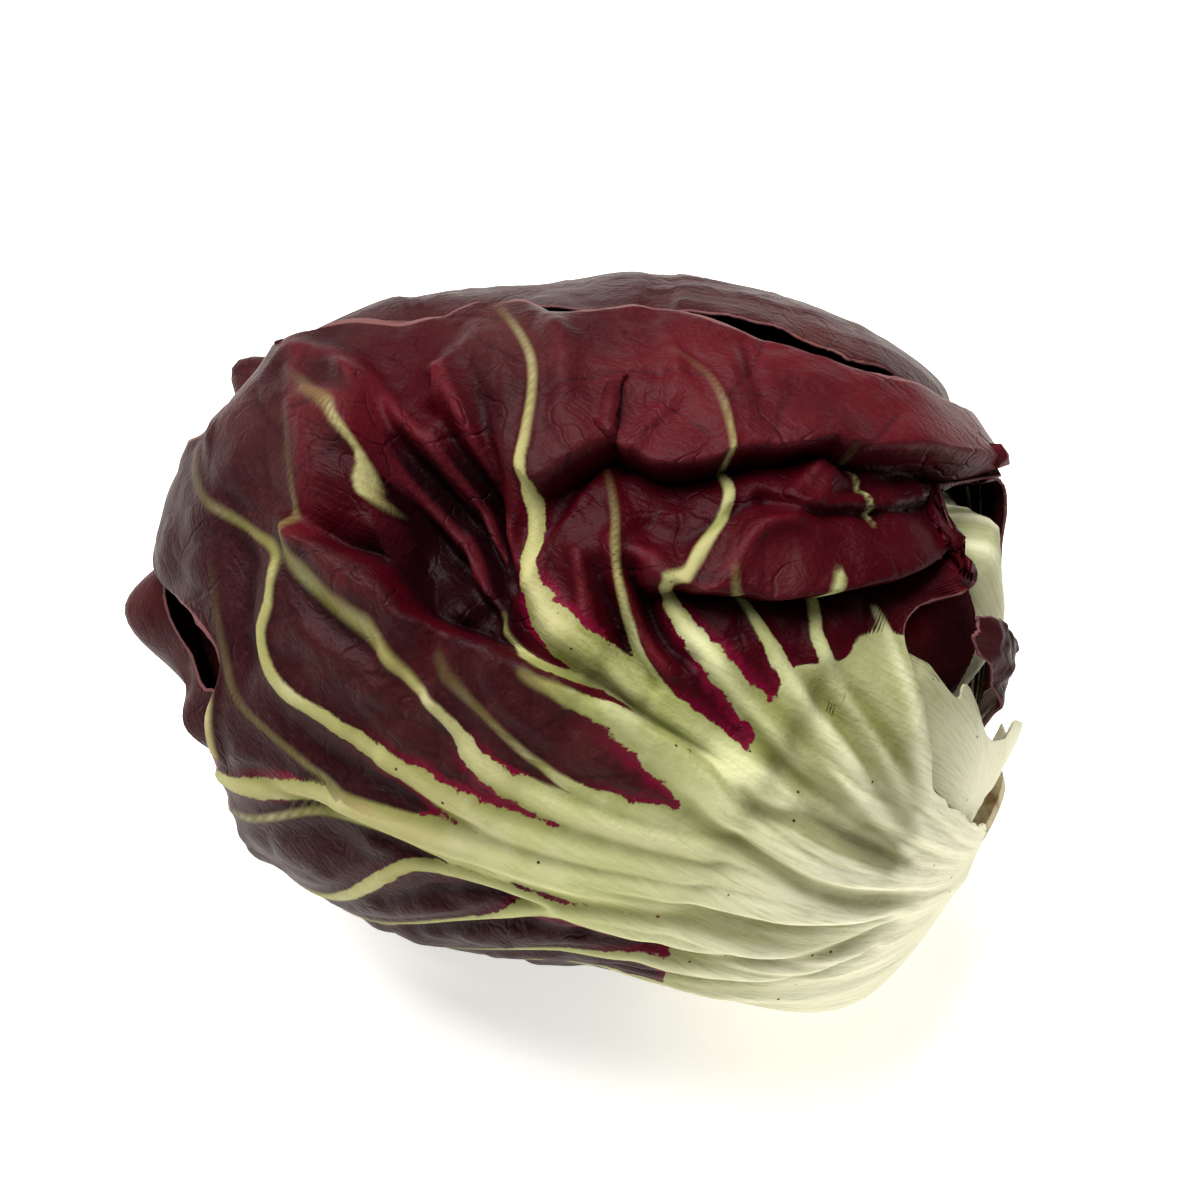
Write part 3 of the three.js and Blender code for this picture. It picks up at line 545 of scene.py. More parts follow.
def front_leaf(material):
    """The large leaf over the side that faces the camera."""
    rows, columns = FRONT_GRID
    s = np.linspace(0, 1, rows + 1)[:, None] * np.ones((1, columns + 1))
    t = np.ones((rows + 1, 1)) * np.linspace(0, 1, columns + 1)[None, :]
    angle = FRONT_ROWS(s)
    low, high = FRONT_UPPER_EDGE(angle), FRONT_LOWER_EDGE(angle)
    even_low = FRONT_EVEN_LOW(angle)
    degree_of_lon = np.maximum(np.sin(np.radians(angle)) * MEAN_RADIUS * DEGREE, 0.1)
    wobble = layered(np.stack([angle * 0.9, t * 40, t * 0], -1), 5.0, 3) * 1.0 / degree_of_lon
    wobble += lattice_noise(np.stack([angle * 0.96, t * 40, t * 0], -1), 1.1, 8) * 0.25 / degree_of_lon
    lon = even_low + t * (high - even_low) + (low - even_low) * (1 - t) ** 5
    lon = lon + wobble * (2 * t - 1) ** 8
    inside = np.minimum(lon - low, high - lon) * degree_of_lon
    edge = np.maximum(np.minimum(inside, (FRONT_TIP - angle) * 0.96), 0)
    angle = angle - sum(
        drop * np.exp(-((angle - lobe_angle) / half_angle) ** 2 - ((lon - lobe_lon) / half_lon) ** 2)
        for lobe_angle, lobe_lon, half_angle, half_lon, drop in SHOULDER_LOBES
    )
    d = direction(angle, lon)
    flat = (d * MEAN_RADIUS).reshape(-1, 3)
    shape = angle.shape
    ribs = [(proud, rooted(line)) for proud, line in FRONT_RIBS]
    pale, width, lift = (v.reshape(shape) for v in rib_fields(flat, ribs))
    rng = random.Random(11)
    vein = vein_distance(flat, side_veins(FRONT_RIBS, rng)).reshape(shape)
    recess = front_recess(angle, lon)
    lamina = smooth(-pale, 0.3, 3.0) * smooth(angle, 60, 90)
    folded = 1 - smooth(np.abs(fold_distance(FOLDS[1], angle, lon)), 10, 22)
    folded *= smooth(angle, 60, 70) * (1 - smooth(angle, 108, 120))
    pucker = (1.3 + 0.8 * folded) * layered(d * MEAN_RADIUS, 13.0, 5)
    pucker += (0.5 + 0.5 * folded) * layered(d * MEAN_RADIUS, 4.5, 9, 2)
    bulge = 0.5 * (1 - np.exp(-vein / 1.2))
    fan = layered(np.stack([lon * 0.5, angle * 0.06, lon * 0], -1), 1.6, 21, 2)
    fan *= 0.35 * smooth(angle, 18, 32) * (1 - smooth(angle, 58, 80))
    margin_wave = np.exp(-edge / 5) * 1.3 * layered(np.stack([angle, t * 10, t * 0], -1), 9.0, 31, 2)
    lips = np.zeros(shape)
    for fold in FOLDS[:2]:
        lip = (fold_distance(fold, angle, lon) - 2.0) / 2.4
        lips += 0.9 * np.exp(-lip ** 2) * fold_strength(fold, angle)
    pressed = pressed_lines(flat, CREASED_LINES).reshape(shape)
    relief = (1.25 * lift * (0.3 + 0.7 * smooth(angle, 24, 50)) - recess + 0.5 * unrest(d, 1)
              + lamina * (pucker + bulge) + fan + lips + margin_wave * smooth(angle, 60, 80)
              + rise(HOLLOWS, d) + pressed)
    outer = d * (body_radius(d) + relief)[..., None]
    # Lips of the folds lean out over what lies below them
    for fold in [*FOLDS, *CREASES]:
        distance = fold_distance(fold, angle, lon) * (-1 if fold in CREASES else 1)
        ripple = 1 + 0.35 * ray_noise(angle, 5.0, 61)
        amount = fold["lean"] * ripple * np.exp(-((distance - 1.6) / 2.4) ** 2) * fold_strength(fold, angle)
        outer = lean_over(outer, d * MEAN_RADIUS, distance, amount)
    thick = np.minimum(0.95 + 0.5 * (1 - smooth(angle, 50, 90)), 0.35 + 0.25 * edge)
    inner = outer - grid_normals(outer) * thick[..., None]
    outer, inner = hold_above_floor(outer, 0.0), hold_above_floor(inner, 0.6)
    fields = {
        "pale": np.maximum(pale, (FRONT_PALE_TO(lon) - angle) * MEAN_RADIUS * DEGREE),
        "lon": lon,
        "width": width,
        "vein": vein,
        "edge": edge,
        "angle": angle,
        "recess": recess,
        "lift": lift,
        "pressed": pressed,
    }
    return sheet_object("leaf_front", outer, inner, fields, material, "front_leaf")


# The other wrappers, as in the solids. raise and proud lift a leaf out of its level by the shares in across
# (from -1 at the left margin to 1 at the right) and along (degrees from the foot); rises are round swellings.
# left and right are the margins' reach in degrees; a leaf without right is alike on both sides.
MIDDLE = [(-0.75, 0), (-0.35, 1), (0.35, 1), (0.75, 0)]
PAST_FOOT = [(25, 0), (60, 1)]
WRAPPERS = [
    {"name": "under_leaf", "lon": 196, "level": 1, "tip": 158, "seed": 3, "raise": 0, "proud": 1.6, "ribs": 9,
     "left": [(13, 13), (40, 40), (70, 55), (100, 62), (130, 50), (158, 34)],
     "right": [(13, 13), (40, 44), (70, 57), (100, 64), (130, 55), (158, 36)]},
    {"name": "torn_leaf", "lon": 352, "level": 1, "tip": 50, "seed": 4, "raise": 1.6, "proud": 0.4, "ribs": 5,
     "across": [(-1, 1), (0.2, 1), (0.5, 0)], "along": [(13, 0), (24, 1), (30, 1), (44, 0)],
     "left": [(13, 10), (30, 15), (40, 17), (52, 18)],
     "right": [(13, 12), (30, 24), (40, 29), (52, 30), (66, 30)],
     "torn": [(-1, 15), (-0.6, 17), (-0.2, 22), (0.1, 28), (0.3, 30), (0.45, 34), (0.5, 46), (0.54, 48),
              (0.6, 47), (0.66, 51), (0.71, 63), (0.76, 67), (0.83, 66), (0.9, 60), (1, 49)]},
    {"name": "back_leaf", "lon": 282, "level": 2, "tip": 172, "seed": 5, "raise": 4.2, "proud": 0.8,
     "ribs": 9, "rib_size": 0.24, "across": [(-0.5, 0), (0.05, 1)],
     "along": [(25, 0), (46, 0.15), (58, 0.9), (70, 1.1), (82, 1), (126, 1), (140, 0.5), (148, 0.55),
               (160, 1)],
     "left": [(13, 12), (40, 38), (70, 48), (100, 52), (130, 46), (164, 26), (172, 18)],
     "right": [(13, 13), (30, 28), (40, 32), (50, 35), (60, 41), (75, 49), (84, 52.6), (90, 54), (105, 53),
               (120, 50), (130, 46), (140, 41), (150, 34), (164, 20), (172, 12)],
     "rises": [(152, -20, 9, -2.4), (163, -20, 8, -2.6), (58, -31, 8, 3)]},
    {"name": "side_leaf", "lon": 118, "level": 2, "tip": 150, "seed": 10, "raise": 0, "proud": 0, "ribs": 7,
     "left": [(13, 10), (50, 26), (90, 30), (130, 24), (150, 18)],
     "right": [(13, 10), (50, 28), (90, 30), (130, 25), (150, 18)],
     "torn": [(-1, 122), (-0.6, 134), (-0.3, 141), (-0.1, 143), (0.05, 151), (0.2, 163), (0.4, 168),
              (0.7, 165), (1, 150)],
     "rises": [(151, 133, 6.5, 9.5), (138, 119, 4.5, 4.5)]},
    {"name": "crumpled_leaf", "lon": 7, "level": 2, "tip": 58, "seed": 12, "raise": 4.6, "proud": 0.4,
     "ribs": 3, "rib_size": 0.2, "across": [(-1, 1), (1, 1)], "along": [(33, 0), (43, 1)],
     "left": [(13, 4), (40, 6), (62, 7)], "right": [(13, 3), (40, 3), (50, 3), (55, 5.5), (62, 7)],
     "rises": [(52, 5, 8, 2)]},
    {"name": "crown_leaf", "lon": 142, "level": 3, "tip": 196, "seed": 6, "raise": -0.2, "proud": 0,
     "ribs": 7, "left": [(13, 10), (50, 30), (90, 42), (130, 44), (160, 40), (196, 26)],
     "rises": [(178, -95, 5, 9.5)]},
    {"name": "inner_leaf_1", "lon": 330, "level": 4, "tip": 168, "seed": 7, "raise": 0, "proud": 0.3,
     "ribs": 7, "left": [(13, 10), (50, 28), (90, 40), (130, 42), (168, 28)],
     "right": [(13, 12), (30, 24), (50, 34), (90, 37), (130, 34), (168, 24)],
     "rises": [(60, -12, 10, 7.5), (60, -24, 8, 3.5), (46, -6, 9, 6)]},
    {"name": "inner_leaf_2", "lon": 236, "level": 5, "tip": 176, "seed": 8, "raise": 0, "proud": 0.3,
     "ribs": 7, "left": [(13, 10), (50, 28), (90, 38), (130, 40), (176, 28)]},
    {"name": "inner_leaf_3", "lon": 38, "level": 6, "tip": 172, "seed": 9, "raise": 0, "proud": 0.3,
     "ribs": 7, "left": [(13, 10), (50, 28), (90, 40), (130, 42), (172, 30)]},
]
# Where each wrapper's pale base ends, in degrees along its midrib, where it isn't the usual place
PALE_TO = {"torn_leaf": 200.0, "crumpled_leaf": 30.0, "inner_leaf_1": 78.0, "back_leaf": 14.0}
USUAL_PALE_TO = 52.0
TIP_ROUNDING = 16


def wrapper_direction(spec, a, b):
    """The direction at a degrees along the leaf's midrib and b degrees to its side."""
    lon = math.radians(spec["lon"])
    along = math.cos(lon) * OVER + math.sin(lon) * FRONT
    across = np.cross(STEM, along)
    a, b = np.radians(a), np.radians(b)
    return ((np.cos(b) * np.cos(a))[..., None] * STEM + (np.cos(b) * np.sin(a))[..., None] * along
            + np.sin(b)[..., None] * across)


def wrapper_ribs(spec, left, right, rng):
    """Ribs that fan out from the foot: the midrib and pairs beside it."""
    ribs = []
    count = spec["ribs"]
    for k in range(count):
        t = (2 * k - (count - 1)) / count * 0.98
        middle = 1 - abs(t)
        angles = np.linspace(16, min(spec["tip"] - 14 - 20 * abs(t), 172), 12)
        sway = rng.uniform(-1, 1)
        line = []
        for a in angles:
            reach = left(a) if t < 0 else right(a)
            lean = t * (0.75 + 0.25 * smooth(a, 20, 110))
            b = reach * lean + 1.6 * math.sin(a * 0.06 + sway * 3) * smooth(a, 60, 110)
            d = wrapper_direction(spec, np.array(a), np.array(b))
            angle, lon = polar(d, spec["lon"])
            fade = (1 - smooth(a, 40, 115)) ** 1.6
            half = 0.18 + (1.4 + 1.8 * middle) * fade + 0.5 * middle * (1 - smooth(a, 90, 160))
            half = half * spec.get("rib_size", 1.0)
            half = float(half * (1 - 0.95 * smooth(a, 0.55 * angles[-1], angles[-1])))
            line.append((float(angle), float(lon), half))
        ribs.append((0.4 + 0.9 * middle, line))
    return ribs


def wrapper_leaf(spec, material, slot, rows, columns):
    """One of the leaves in WRAPPERS as a closed sheet."""
    left, right = curve(spec["left"]), curve(spec.get("right", spec["left"]))
    rng = random.Random(spec["seed"])
    s = np.linspace(0, 1, rows + 1)[:, None] * np.ones((1, columns + 1))
    t = np.ones((rows + 1, 1)) * np.linspace(-1, 1, columns + 1)[None, :]
    end = curve(spec["torn"])(t) if "torn" in spec else spec["tip"] - TIP_ROUNDING * t * t
    ragged = ray_noise(t * 30, 3.0, spec["seed"] + 40, 3)
    end = end + ragged * (1.2 if "torn" in spec else 1.0)
    a = LEAF_FOOT + s * (end - LEAF_FOOT)
    reach = np.where(t < 0, left(a), right(a))
    wobble = layered(np.stack([a * 0.9, t * 40, t * 0], -1), 4.0, spec["seed"]) * 1.0 * np.abs(t) ** 12
    b = reach * t + wobble * np.sign(t)
    d = wrapper_direction(spec, a, b)
    edge = np.minimum((1 - np.abs(t)) * reach, (1 - s) * (end - LEAF_FOOT)) * MEAN_RADIUS * DEGREE
    ribs = wrapper_ribs(spec, left, right, rng)
    flat = (d * MEAN_RADIUS).reshape(-1, 3)
    pale, width, lift = (v.reshape(a.shape) for v in rib_fields(flat, ribs))
    vein = vein_distance(flat, side_veins(ribs, rng)).reshape(a.shape)
    lamina = smooth(-pale, 0.3, 3.0) * smooth(a, 50, 90)
    swell = spec["raise"] + spec["proud"] * (0.5 + 0.5 * unrest(d, spec["seed"]))
    swell = swell * curve(spec.get("across", MIDDLE))(t) * curve(spec.get("along", PAST_FOOT))(a)
    swell = swell + rise(spec.get("rises", []), d)
    pucker = 0.5 * layered(d * MEAN_RADIUS, 12.0, spec["seed"] + 5)
    pucker += 0.2 * layered(d * MEAN_RADIUS, 4.0, spec["seed"] + 9, 2)
    if spec["name"] == "crumpled_leaf":
        lamina = smooth(a, 38, 46)
        pucker = 2.2 * layered(d * MEAN_RADIUS, 5.5, 77, 3)
    wave = layered(np.stack([a, t * 10, t * 0], -1), 8.0, spec["seed"] + 31, 2)
    margin_wave = np.exp(-edge / 4) * 0.6 * wave
    radius = (body_radius(d) - spec["level"] * LEVEL_STEP - guard(d) + 0.6 * lift + swell + lamina * pucker
              + 0.12 * np.exp(-(vein / 0.35) ** 2) * lamina + margin_wave)
    outer = d * radius[..., None]
    thick = np.minimum(0.8 + 0.5 * (1 - smooth(a, 30, 70)), 0.35 + 0.25 * edge)
    if spec["name"] == "crumpled_leaf":
        thick = np.minimum(thick, 0.8)
    inner = outer - d * thick[..., None]
    floor = (spec["level"] - REST_LEVEL) * LEVEL_STEP
    outer, inner = hold_above_floor(outer, floor), hold_above_floor(inner, floor + 0.6)
    angle, _ = polar(d)
    pale_to = PALE_TO.get(spec["name"], USUAL_PALE_TO)
    if spec["name"] == "inner_leaf_1":
        pale_to = pale_to - 60 * smooth(b, 20, 24)
        pale = np.where(b > 20, -9.0, pale)
    if "torn" not in spec and spec["name"] not in PALE_TO:
        pale_to = pale_to + 9 * ray_noise(b, 6.0, spec["seed"] + 50)
    fields = {
        "pale": np.maximum(pale, (pale_to - a) * MEAN_RADIUS * DEGREE),
        "lon": b / np.maximum(np.sin(np.radians(a)), 0.2),
        "width": width,
        "vein": vein,
        "edge": edge,
        "angle": angle,
        "recess": np.zeros(a.shape),
        "lift": lift,
        "pressed": np.zeros(a.shape),
    }
    name = "leaf_" + spec["name"].replace("_leaf", "")
    return sheet_object(name, outer, inner, fields, material, spec["name"])


HEART_ROWS, HEART_COLUMNS, HEART_LEAVES = 120, 200, 5
HEART_DEPTH, HEART_STEP, HEART_ROOM = 21.2, 1.6, 1.2
HEART_PALE_TO = 45.0


def heart(material):
    """The tightly packed middle: one closed form with the steps of its leaves' margins."""
    angle = np.linspace(0, 180, HEART_ROWS + 1)[1:-1, None] * np.ones((1, HEART_COLUMNS))
    lon = np.ones((HEART_ROWS - 1, 1)) * (np.arange(HEART_COLUMNS) * 360 / HEART_COLUMNS)[None, :]

    def surface(angle, lon):
        d = direction(angle, lon)
        turn = ((lon + angle * 0.7) / 360 * HEART_LEAVES) % 1
        margin = HEART_STEP * smooth(turn, 0, 0.92) * (1 - smooth(turn, 0.94, 1)) * smooth(angle, 20, 60)
        margin = margin * (1 - smooth(angle, 165, 178))
        radius = body_radius(d) - HEART_DEPTH - HEART_ROOM * guard(d) + margin - HEART_STEP
        radius = radius + 0.4 * layered(d * MEAN_RADIUS, 9.0, 71) * smooth(angle, 40, 80)
        return d * radius[..., None]

    ring = surface(angle, lon).reshape(-1, 3)
    poles = surface(np.array([0.0, 180.0]), np.array([0.0, 0.0]))
    points = np.concatenate([poles[:1], ring, poles[1:]])
    points = hold_above_floor(points, HEART_DEPTH - REST_LEVEL * LEVEL_STEP)
    faces = []
    last = len(points) - 1

    def of(i, j):
        return 1 + (i - 1) * HEART_COLUMNS + j % HEART_COLUMNS

    for j in range(HEART_COLUMNS):
        faces.append((0, of(1, j), of(1, j + 1)))
        faces.append((last, of(HEART_ROWS - 1, j + 1), of(HEART_ROWS - 1, j)))
        for i in range(1, HEART_ROWS - 1):
            faces.append((of(i, j), of(i + 1, j), of(i + 1, j + 1), of(i, j + 1)))
    angles = np.concatenate([[0], angle.reshape(-1), [180]])
    fields = {
        "pale": (HEART_PALE_TO - angles) * MEAN_RADIUS * DEGREE,
        "lon": np.concatenate([[0], lon.reshape(-1), [0]]),
        "width": np.full(len(angles), 0.2),
        "vein": np.full(len(angles), PAST_VEINS),
        "edge": np.full(len(angles), 20.0),
        "angle": angles,
        "recess": np.zeros(len(angles)),
        "lift": np.zeros(len(angles)),
        "pressed": np.zeros(len(angles)),
    }
    return leaf_piece("heart_packed", points, faces, fields, material, "heart")


class Nodes:
    """Short calls that add shader nodes and link them."""

    def __init__(self, name):
        self.material = bpy.data.materials.new(name)
        self.material.use_nodes = True
        self.tree = self.material.node_tree
        self.tree.nodes.clear()

    def node(self, kind, inputs=(), **settings):
        n = self.tree.nodes.new(kind)
        for key, value in settings.items():
            setattr(n, key, value)
        for key, value in dict(inputs).items():
            if isinstance(value, bpy.types.NodeSocket):
                self.tree.links.new(value, n.inputs[key])
            else:
                n.inputs[key].default_value = value
        return n

    def field(self, name):
        return self.node("ShaderNodeAttribute", attribute_name=name).outputs["Fac"]

    def math(self, operation, a, b=0.0, clamp=False):
        return self.node("ShaderNodeMath", {0: a, 1: b}, operation=operation, use_clamp=clamp).outputs[0]

    def ramp(self, value, low, high, out_low=0.0, out_high=1.0):
        inputs = {"Value": value, "From Min": low, "From Max": high, "To Min": out_low, "To Max": out_high}
        return self.node("ShaderNodeMapRange", inputs, interpolation_type="SMOOTHSTEP").outputs["Result"]

    def mix(self, share, a, b):
        return self.node("ShaderNodeMix", {0: share, 6: a, 7: b}, data_type="RGBA").outputs[2]

    def both(self, a, b):
        return self.math("MULTIPLY", a, b)

    def finish(self, shader):
        """Links the shader to the material's output."""
        out = self.node("ShaderNodeOutputMaterial")
        self.tree.links.new(shader.outputs[0], out.inputs["Surface"])
        return self.material

    def noise_vector(self, vector, scale, amount):
        """A small shift of the place, for bent lines."""
        noise = self.node("ShaderNodeTexNoise", {"Vector": vector, "Scale": scale, "Detail": 2.0})
        inputs = {0: noise.outputs["Color"], 1: (amount, amount, amount)}
        return self.node("ShaderNodeVectorMath", inputs, operation="MULTIPLY").outputs[0]

    def noise(self, vector, scale, detail=3.0, rough=0.55, distortion=0.0):
        inputs = {"Vector": vector, "Scale": scale, "Detail": detail, "Roughness": rough,
                  "Distortion": distortion}
        return self.node("ShaderNodeTexNoise", inputs).outputs["Fac"]


def rgb(r, g, b):
    """A colour from display values of 0 to 255."""
    linear = [v / 255 / 12.92 if v <= 10 else ((v / 255 + 0.055) / 1.055) ** 2.4 for v in (r, g, b)]
    return (*linear, 1.0)


# Colours of the lamina
LOW_MAROON = rgb(34, 7, 10)
CLOUD_MAROON = rgb(40, 7, 12)
MOTTLE_BROWN = rgb(86, 46, 46)
# Painted shade, near black, in the deepest hollows
HOLLOW_SHADE_BLACK = rgb(16, 2, 5)
# Painted shade, near black, along pressed grooves
GROOVE_SHADE_BLACK = rgb(20, 3, 6)
# Painted highlight, red, along pressed ridges
RIDGE_HIGHLIGHT_RED = rgb(112, 30, 40)
VEIN_MAROON = rgb(30, 8, 14)
NET_MAROON = rgb(34, 8, 13)
RIM_CRIMSON = rgb(112, 8, 42)
MARGIN_PINK = rgb(142, 96, 94)
# Colours of the ribs and the leaf base
BASE_CREAM = rgb(236, 234, 206)
RIB_GREEN = rgb(188, 190, 136)
SLIM_PINK = rgb(158, 118, 104)
OUTER_OLIVE = rgb(158, 148, 98)
# Painted shade, dark olive, in the valley under the front leaf's fold
VALLEY_SHADE_GREEN = rgb(104, 110, 46)
STREAK_GREEN = rgb(160, 166, 110)
# Painted shade, grey green, in the furrows between the ribs
FURROW_SHADE_GREEN = rgb(112, 114, 52)
# Painted shade, dark olive, along pressed grooves in the pale tissue
GROOVE_SHADE_GREEN = rgb(104, 106, 46)
BLOTCH_CREAM = rgb(216, 212, 178)
SPECK_BROWN = rgb(48, 30, 26)
# Colours of the cut stem and the floor
STEM_CREAM = rgb(214, 200, 158)
STEM_BROWN = rgb(150, 112, 66)
FLOOR_WHITE = rgb(246, 244, 238)
# Noise scales in features per metre, and depth of the finest relief in metres
RAGGED_SCALE, BROAD_SCALE, CLOUD_SCALE, MOTTLE_SCALE, BLOTCH_SCALE = 420.0, 70.0, 38.0, 900.0, 110.0
NET_SCALE, SPECK_SCALE, FINE_SCALE, WRINKLE_SCALE, STEM_SCALE = 105.0, 430.0, 1300.0, 330.0, 240.0
RELIEF_DEPTH = 0.0004
LEAF_SPECULAR = 0.06


def leaf_material(name, dark, mid, red, recess_shade, roughness=0.42, red_side=False):
    """Leaf tissue: maroon lamina with veins, pale ribs that green outwards, crimson rims and specks; painted
    shade darkens its recesses, grooves and furrows, and a painted highlight reddens its ridges.
    """
    m = Nodes(name)
    place = m.node("ShaderNodeTexCoord").outputs["Object"]
    pale, lon, width, lift = m.field("pale"), m.field("lon"), m.field("width"), m.field("lift")
    vein, edge, angle, recess = m.field("vein"), m.field("edge"), m.field("angle"), m.field("recess")
    pressed = m.field("pressed")
    across = m.both(lon, 0.9)
    flow = m.node("ShaderNodeCombineXYZ", {0: across, 1: m.both(angle, 0.09), 2: 0.0}).outputs[0]
    ragged = m.math("SUBTRACT", m.noise(place, RAGGED_SCALE, 5.0, 0.65, 0.6), 0.5)
    strength = m.math("ADD", m.ramp(width, 0.4, 2.2, 0.0, 3.2), 0.12)
    shifted = m.math("ADD", pale, m.both(ragged, strength))
    mask = m.ramp(shifted, m.ramp(width, 0.4, 1.2, -0.45, -0.12), m.ramp(width, 0.4, 1.2, 0.45, 0.16))
    mask = m.both(mask, m.math("MAXIMUM", m.ramp(width, 0.1, 0.6), m.ramp(pale, 0.8, 1.6)))
    rim = m.both(m.ramp(shifted, -2.0, -0.1), m.ramp(width, 0.9, 2.2))

    # Lamina
    broad = m.noise(place, BROAD_SCALE, 4.0)
    lamina = m.mix(m.ramp(broad, 0.3, 0.7), dark, mid)
    if red_side:
        lamina = m.mix(m.ramp(lon, 56.0, 88.0, 0.0, 0.75), lamina, LOW_MAROON)
        redness = m.both(m.ramp(lon, 42.0, 4.0), m.ramp(angle, 142.0, 112.0))
        lamina = m.mix(m.both(redness, m.ramp(broad, 0.2, 0.6, 0.65, 1.0)), lamina, red)
    cloud = m.noise(place, CLOUD_SCALE, 3.0, 0.5)
    lamina = m.mix(m.ramp(cloud, 0.42, 0.62, 0.0, 0.6), lamina, CLOUD_MAROON)
    mottle = m.noise(place, MOTTLE_SCALE, 4.0, 0.6)
    lamina = m.mix(m.ramp(mottle, 0.45, 0.75, 0.0, 0.2), lamina, MOTTLE_BROWN)
    # Painted shade in the recesses, tinted crimson as a painted glow of light through the thin leaf
    lamina = m.mix(m.ramp(recess, 0.3, 2.6, 0.0, 0.95), lamina, recess_shade)
    # Painted shade: near black where the leaf lies deepest below the body
    lamina = m.mix(m.ramp(recess, 3.6, 8.0, 0.0, 0.9), lamina, HOLLOW_SHADE_BLACK)
    # Painted shade along the pressed grooves
    lamina = m.mix(m.ramp(pressed, -0.3, -1.6, 0.0, 0.75), lamina, GROOVE_SHADE_BLACK)
    # Painted highlight, red, on the pressed ridges
    lamina = m.mix(m.ramp(pressed, 0.4, 1.8, 0.0, 0.3), lamina, RIDGE_HIGHLIGHT_RED)
    lamina = m.mix(m.ramp(vein, 0.12, 0.5, 0.5, 0.0), lamina, VEIN_MAROON)
    shift = m.noise_vector(place, 120.0, 0.011)
    bent = m.node("ShaderNodeVectorMath", {0: place, 1: shift}, operation="ADD").outputs[0]
    cells = m.node("ShaderNodeTexVoronoi", {"Vector": bent, "Scale": NET_SCALE}, feature="DISTANCE_TO_EDGE")
    net = cells.outputs["Distance"]
    net_line = m.both(m.ramp(net, 0.0, 0.05, 1.0, 0.0), m.ramp(m.noise(place, 60.0), 0.4, 0.65))
    lamina = m.mix(m.both(net_line, 0.3), lamina, NET_MAROON)
    lamina = m.mix(m.both(rim, 0.8), lamina, RIM_CRIMSON)
    lamina = m.mix(m.ramp(edge, 0.15, 0.45, 0.5, 0.0), lamina, MARGIN_PINK)

    # Ribs and leaf base
    tissue = m.mix(m.ramp(angle, 46, 86), BASE_CREAM, RIB_GREEN)
    slim = m.both(m.ramp(width, 1.1, 0.4), m.ramp(angle, 84, 110))
    tissue = m.mix(slim, tissue, SLIM_PINK)
    tissue = m.mix(m.ramp(angle, 86.0, 112.0, 0.0, 0.75), tissue, OUTER_OLIVE)
    if red_side:
        # Painted shade: the valley under the front leaf's fold goes dark olive
        valley_shade = m.both(m.ramp(lon, 36.0, 45.0), m.ramp(lon, 60.0, 50.0))
        valley_shade = m.both(valley_shade, m.both(m.ramp(angle, 78.0, 90.0), m.ramp(angle, 114.0, 102.0)))
        tissue = m.mix(m.both(valley_shade, 0.75), tissue, VALLEY_SHADE_GREEN)
    streaks = m.noise(flow, 1.5, 4.0, 0.6)
    streak_share = m.both(m.ramp(streaks, 0.42, 0.72), m.ramp(angle, 20, 50, 0.12, 0.5))
    tissue = m.mix(streak_share, tissue, STREAK_GREEN)
    # Painted shade in the furrows where the ribs stand low
    furrow_shade = m.both(m.ramp(lift, 0.1, 1.1, 1.0, 0.0), m.ramp(angle, 30, 62))
    tissue = m.mix(m.both(furrow_shade, 0.7), tissue, FURROW_SHADE_GREEN)
    # Painted shade along pressed grooves in the pale tissue
    tissue = m.mix(m.ramp(pressed, -0.25, -1.3, 0.0, 0.72), tissue, GROOVE_SHADE_GREEN)
    blotch = m.noise(place, BLOTCH_SCALE, 4.0)
    tissue = m.mix(m.ramp(blotch, 0.45, 0.75, 0.0, 0.3), tissue, BLOTCH_CREAM)
    speck = m.node("ShaderNodeTexVoronoi", {"Vector": place, "Scale": SPECK_SCALE, "Randomness": 1.0}).outputs
    dot = m.ramp(speck["Distance"], 0.06, 0.13, 1.0, 0.0)
    draw = m.node("ShaderNodeSeparateColor", {0: speck["Color"]}).outputs[0]
    chosen = m.ramp(draw, 0.83, 0.84)
    tissue = m.mix(m.both(dot, chosen), tissue, SPECK_BROWN)

    colour = m.mix(mask, lamina, tissue)
    fine = m.noise(place, FINE_SCALE, 4.0)
    height = m.math("ADD", m.both(fine, 0.5), m.both(streaks, 0.5))
    wrinkles = m.noise(place, WRINKLE_SCALE, 4.0, 0.6, 0.8)
    height = m.math("ADD", height, m.both(wrinkles, m.ramp(mask, 0.0, 1.0, 0.9, 0.2)))
    height = m.math("SUBTRACT", height, m.both(net_line, m.ramp(mask, 0.0, 1.0, 0.5, 0.0)))
    bump = m.node("ShaderNodeBump", {"Height": height, "Distance": RELIEF_DEPTH,
                                     "Strength": 0.8}).outputs["Normal"]
    uneven = m.both(m.math("SUBTRACT", blotch, 0.5), 0.25)
    rough = m.math("ADD", m.ramp(mask, 0.0, 1.0, roughness, 0.6), uneven)
    shader = m.node("ShaderNodeBsdfPrincipled", {"Base Color": colour, "Roughness": rough, "Normal": bump})
    shader.inputs["Specular IOR Level"].default_value = LEAF_SPECULAR
    return m.finish(shader)


def stem_material():
    """The cut stem: cream, with a browned cut face."""
    m = Nodes("cut_stem")
    place = m.node("ShaderNodeTexCoord").outputs["Object"]
    spots = m.noise(place, STEM_SCALE, 5.0, 0.6)
    colour = m.mix(m.ramp(spots, 0.4, 0.7), STEM_CREAM, STEM_BROWN)
    bump = m.node("ShaderNodeBump", {"Height": spots, "Distance": RELIEF_DEPTH,
                                     "Strength": 0.7}).outputs["Normal"]
    shader = m.node("ShaderNodeBsdfPrincipled", {"Base Color": colour, "Roughness": 0.7, "Normal": bump})
    return m.finish(shader)


# Camera, as the photograph was taken
CAMERA_AZIMUTH, CAMERA_ELEVATION = math.radians(14), math.radians(50)
LENS, SENSOR = 90.0, 36.0
IMAGE_SIDE = 1200
PIXELS_PER_MM = 6.75
CENTRE_PIXEL = (655, 638)


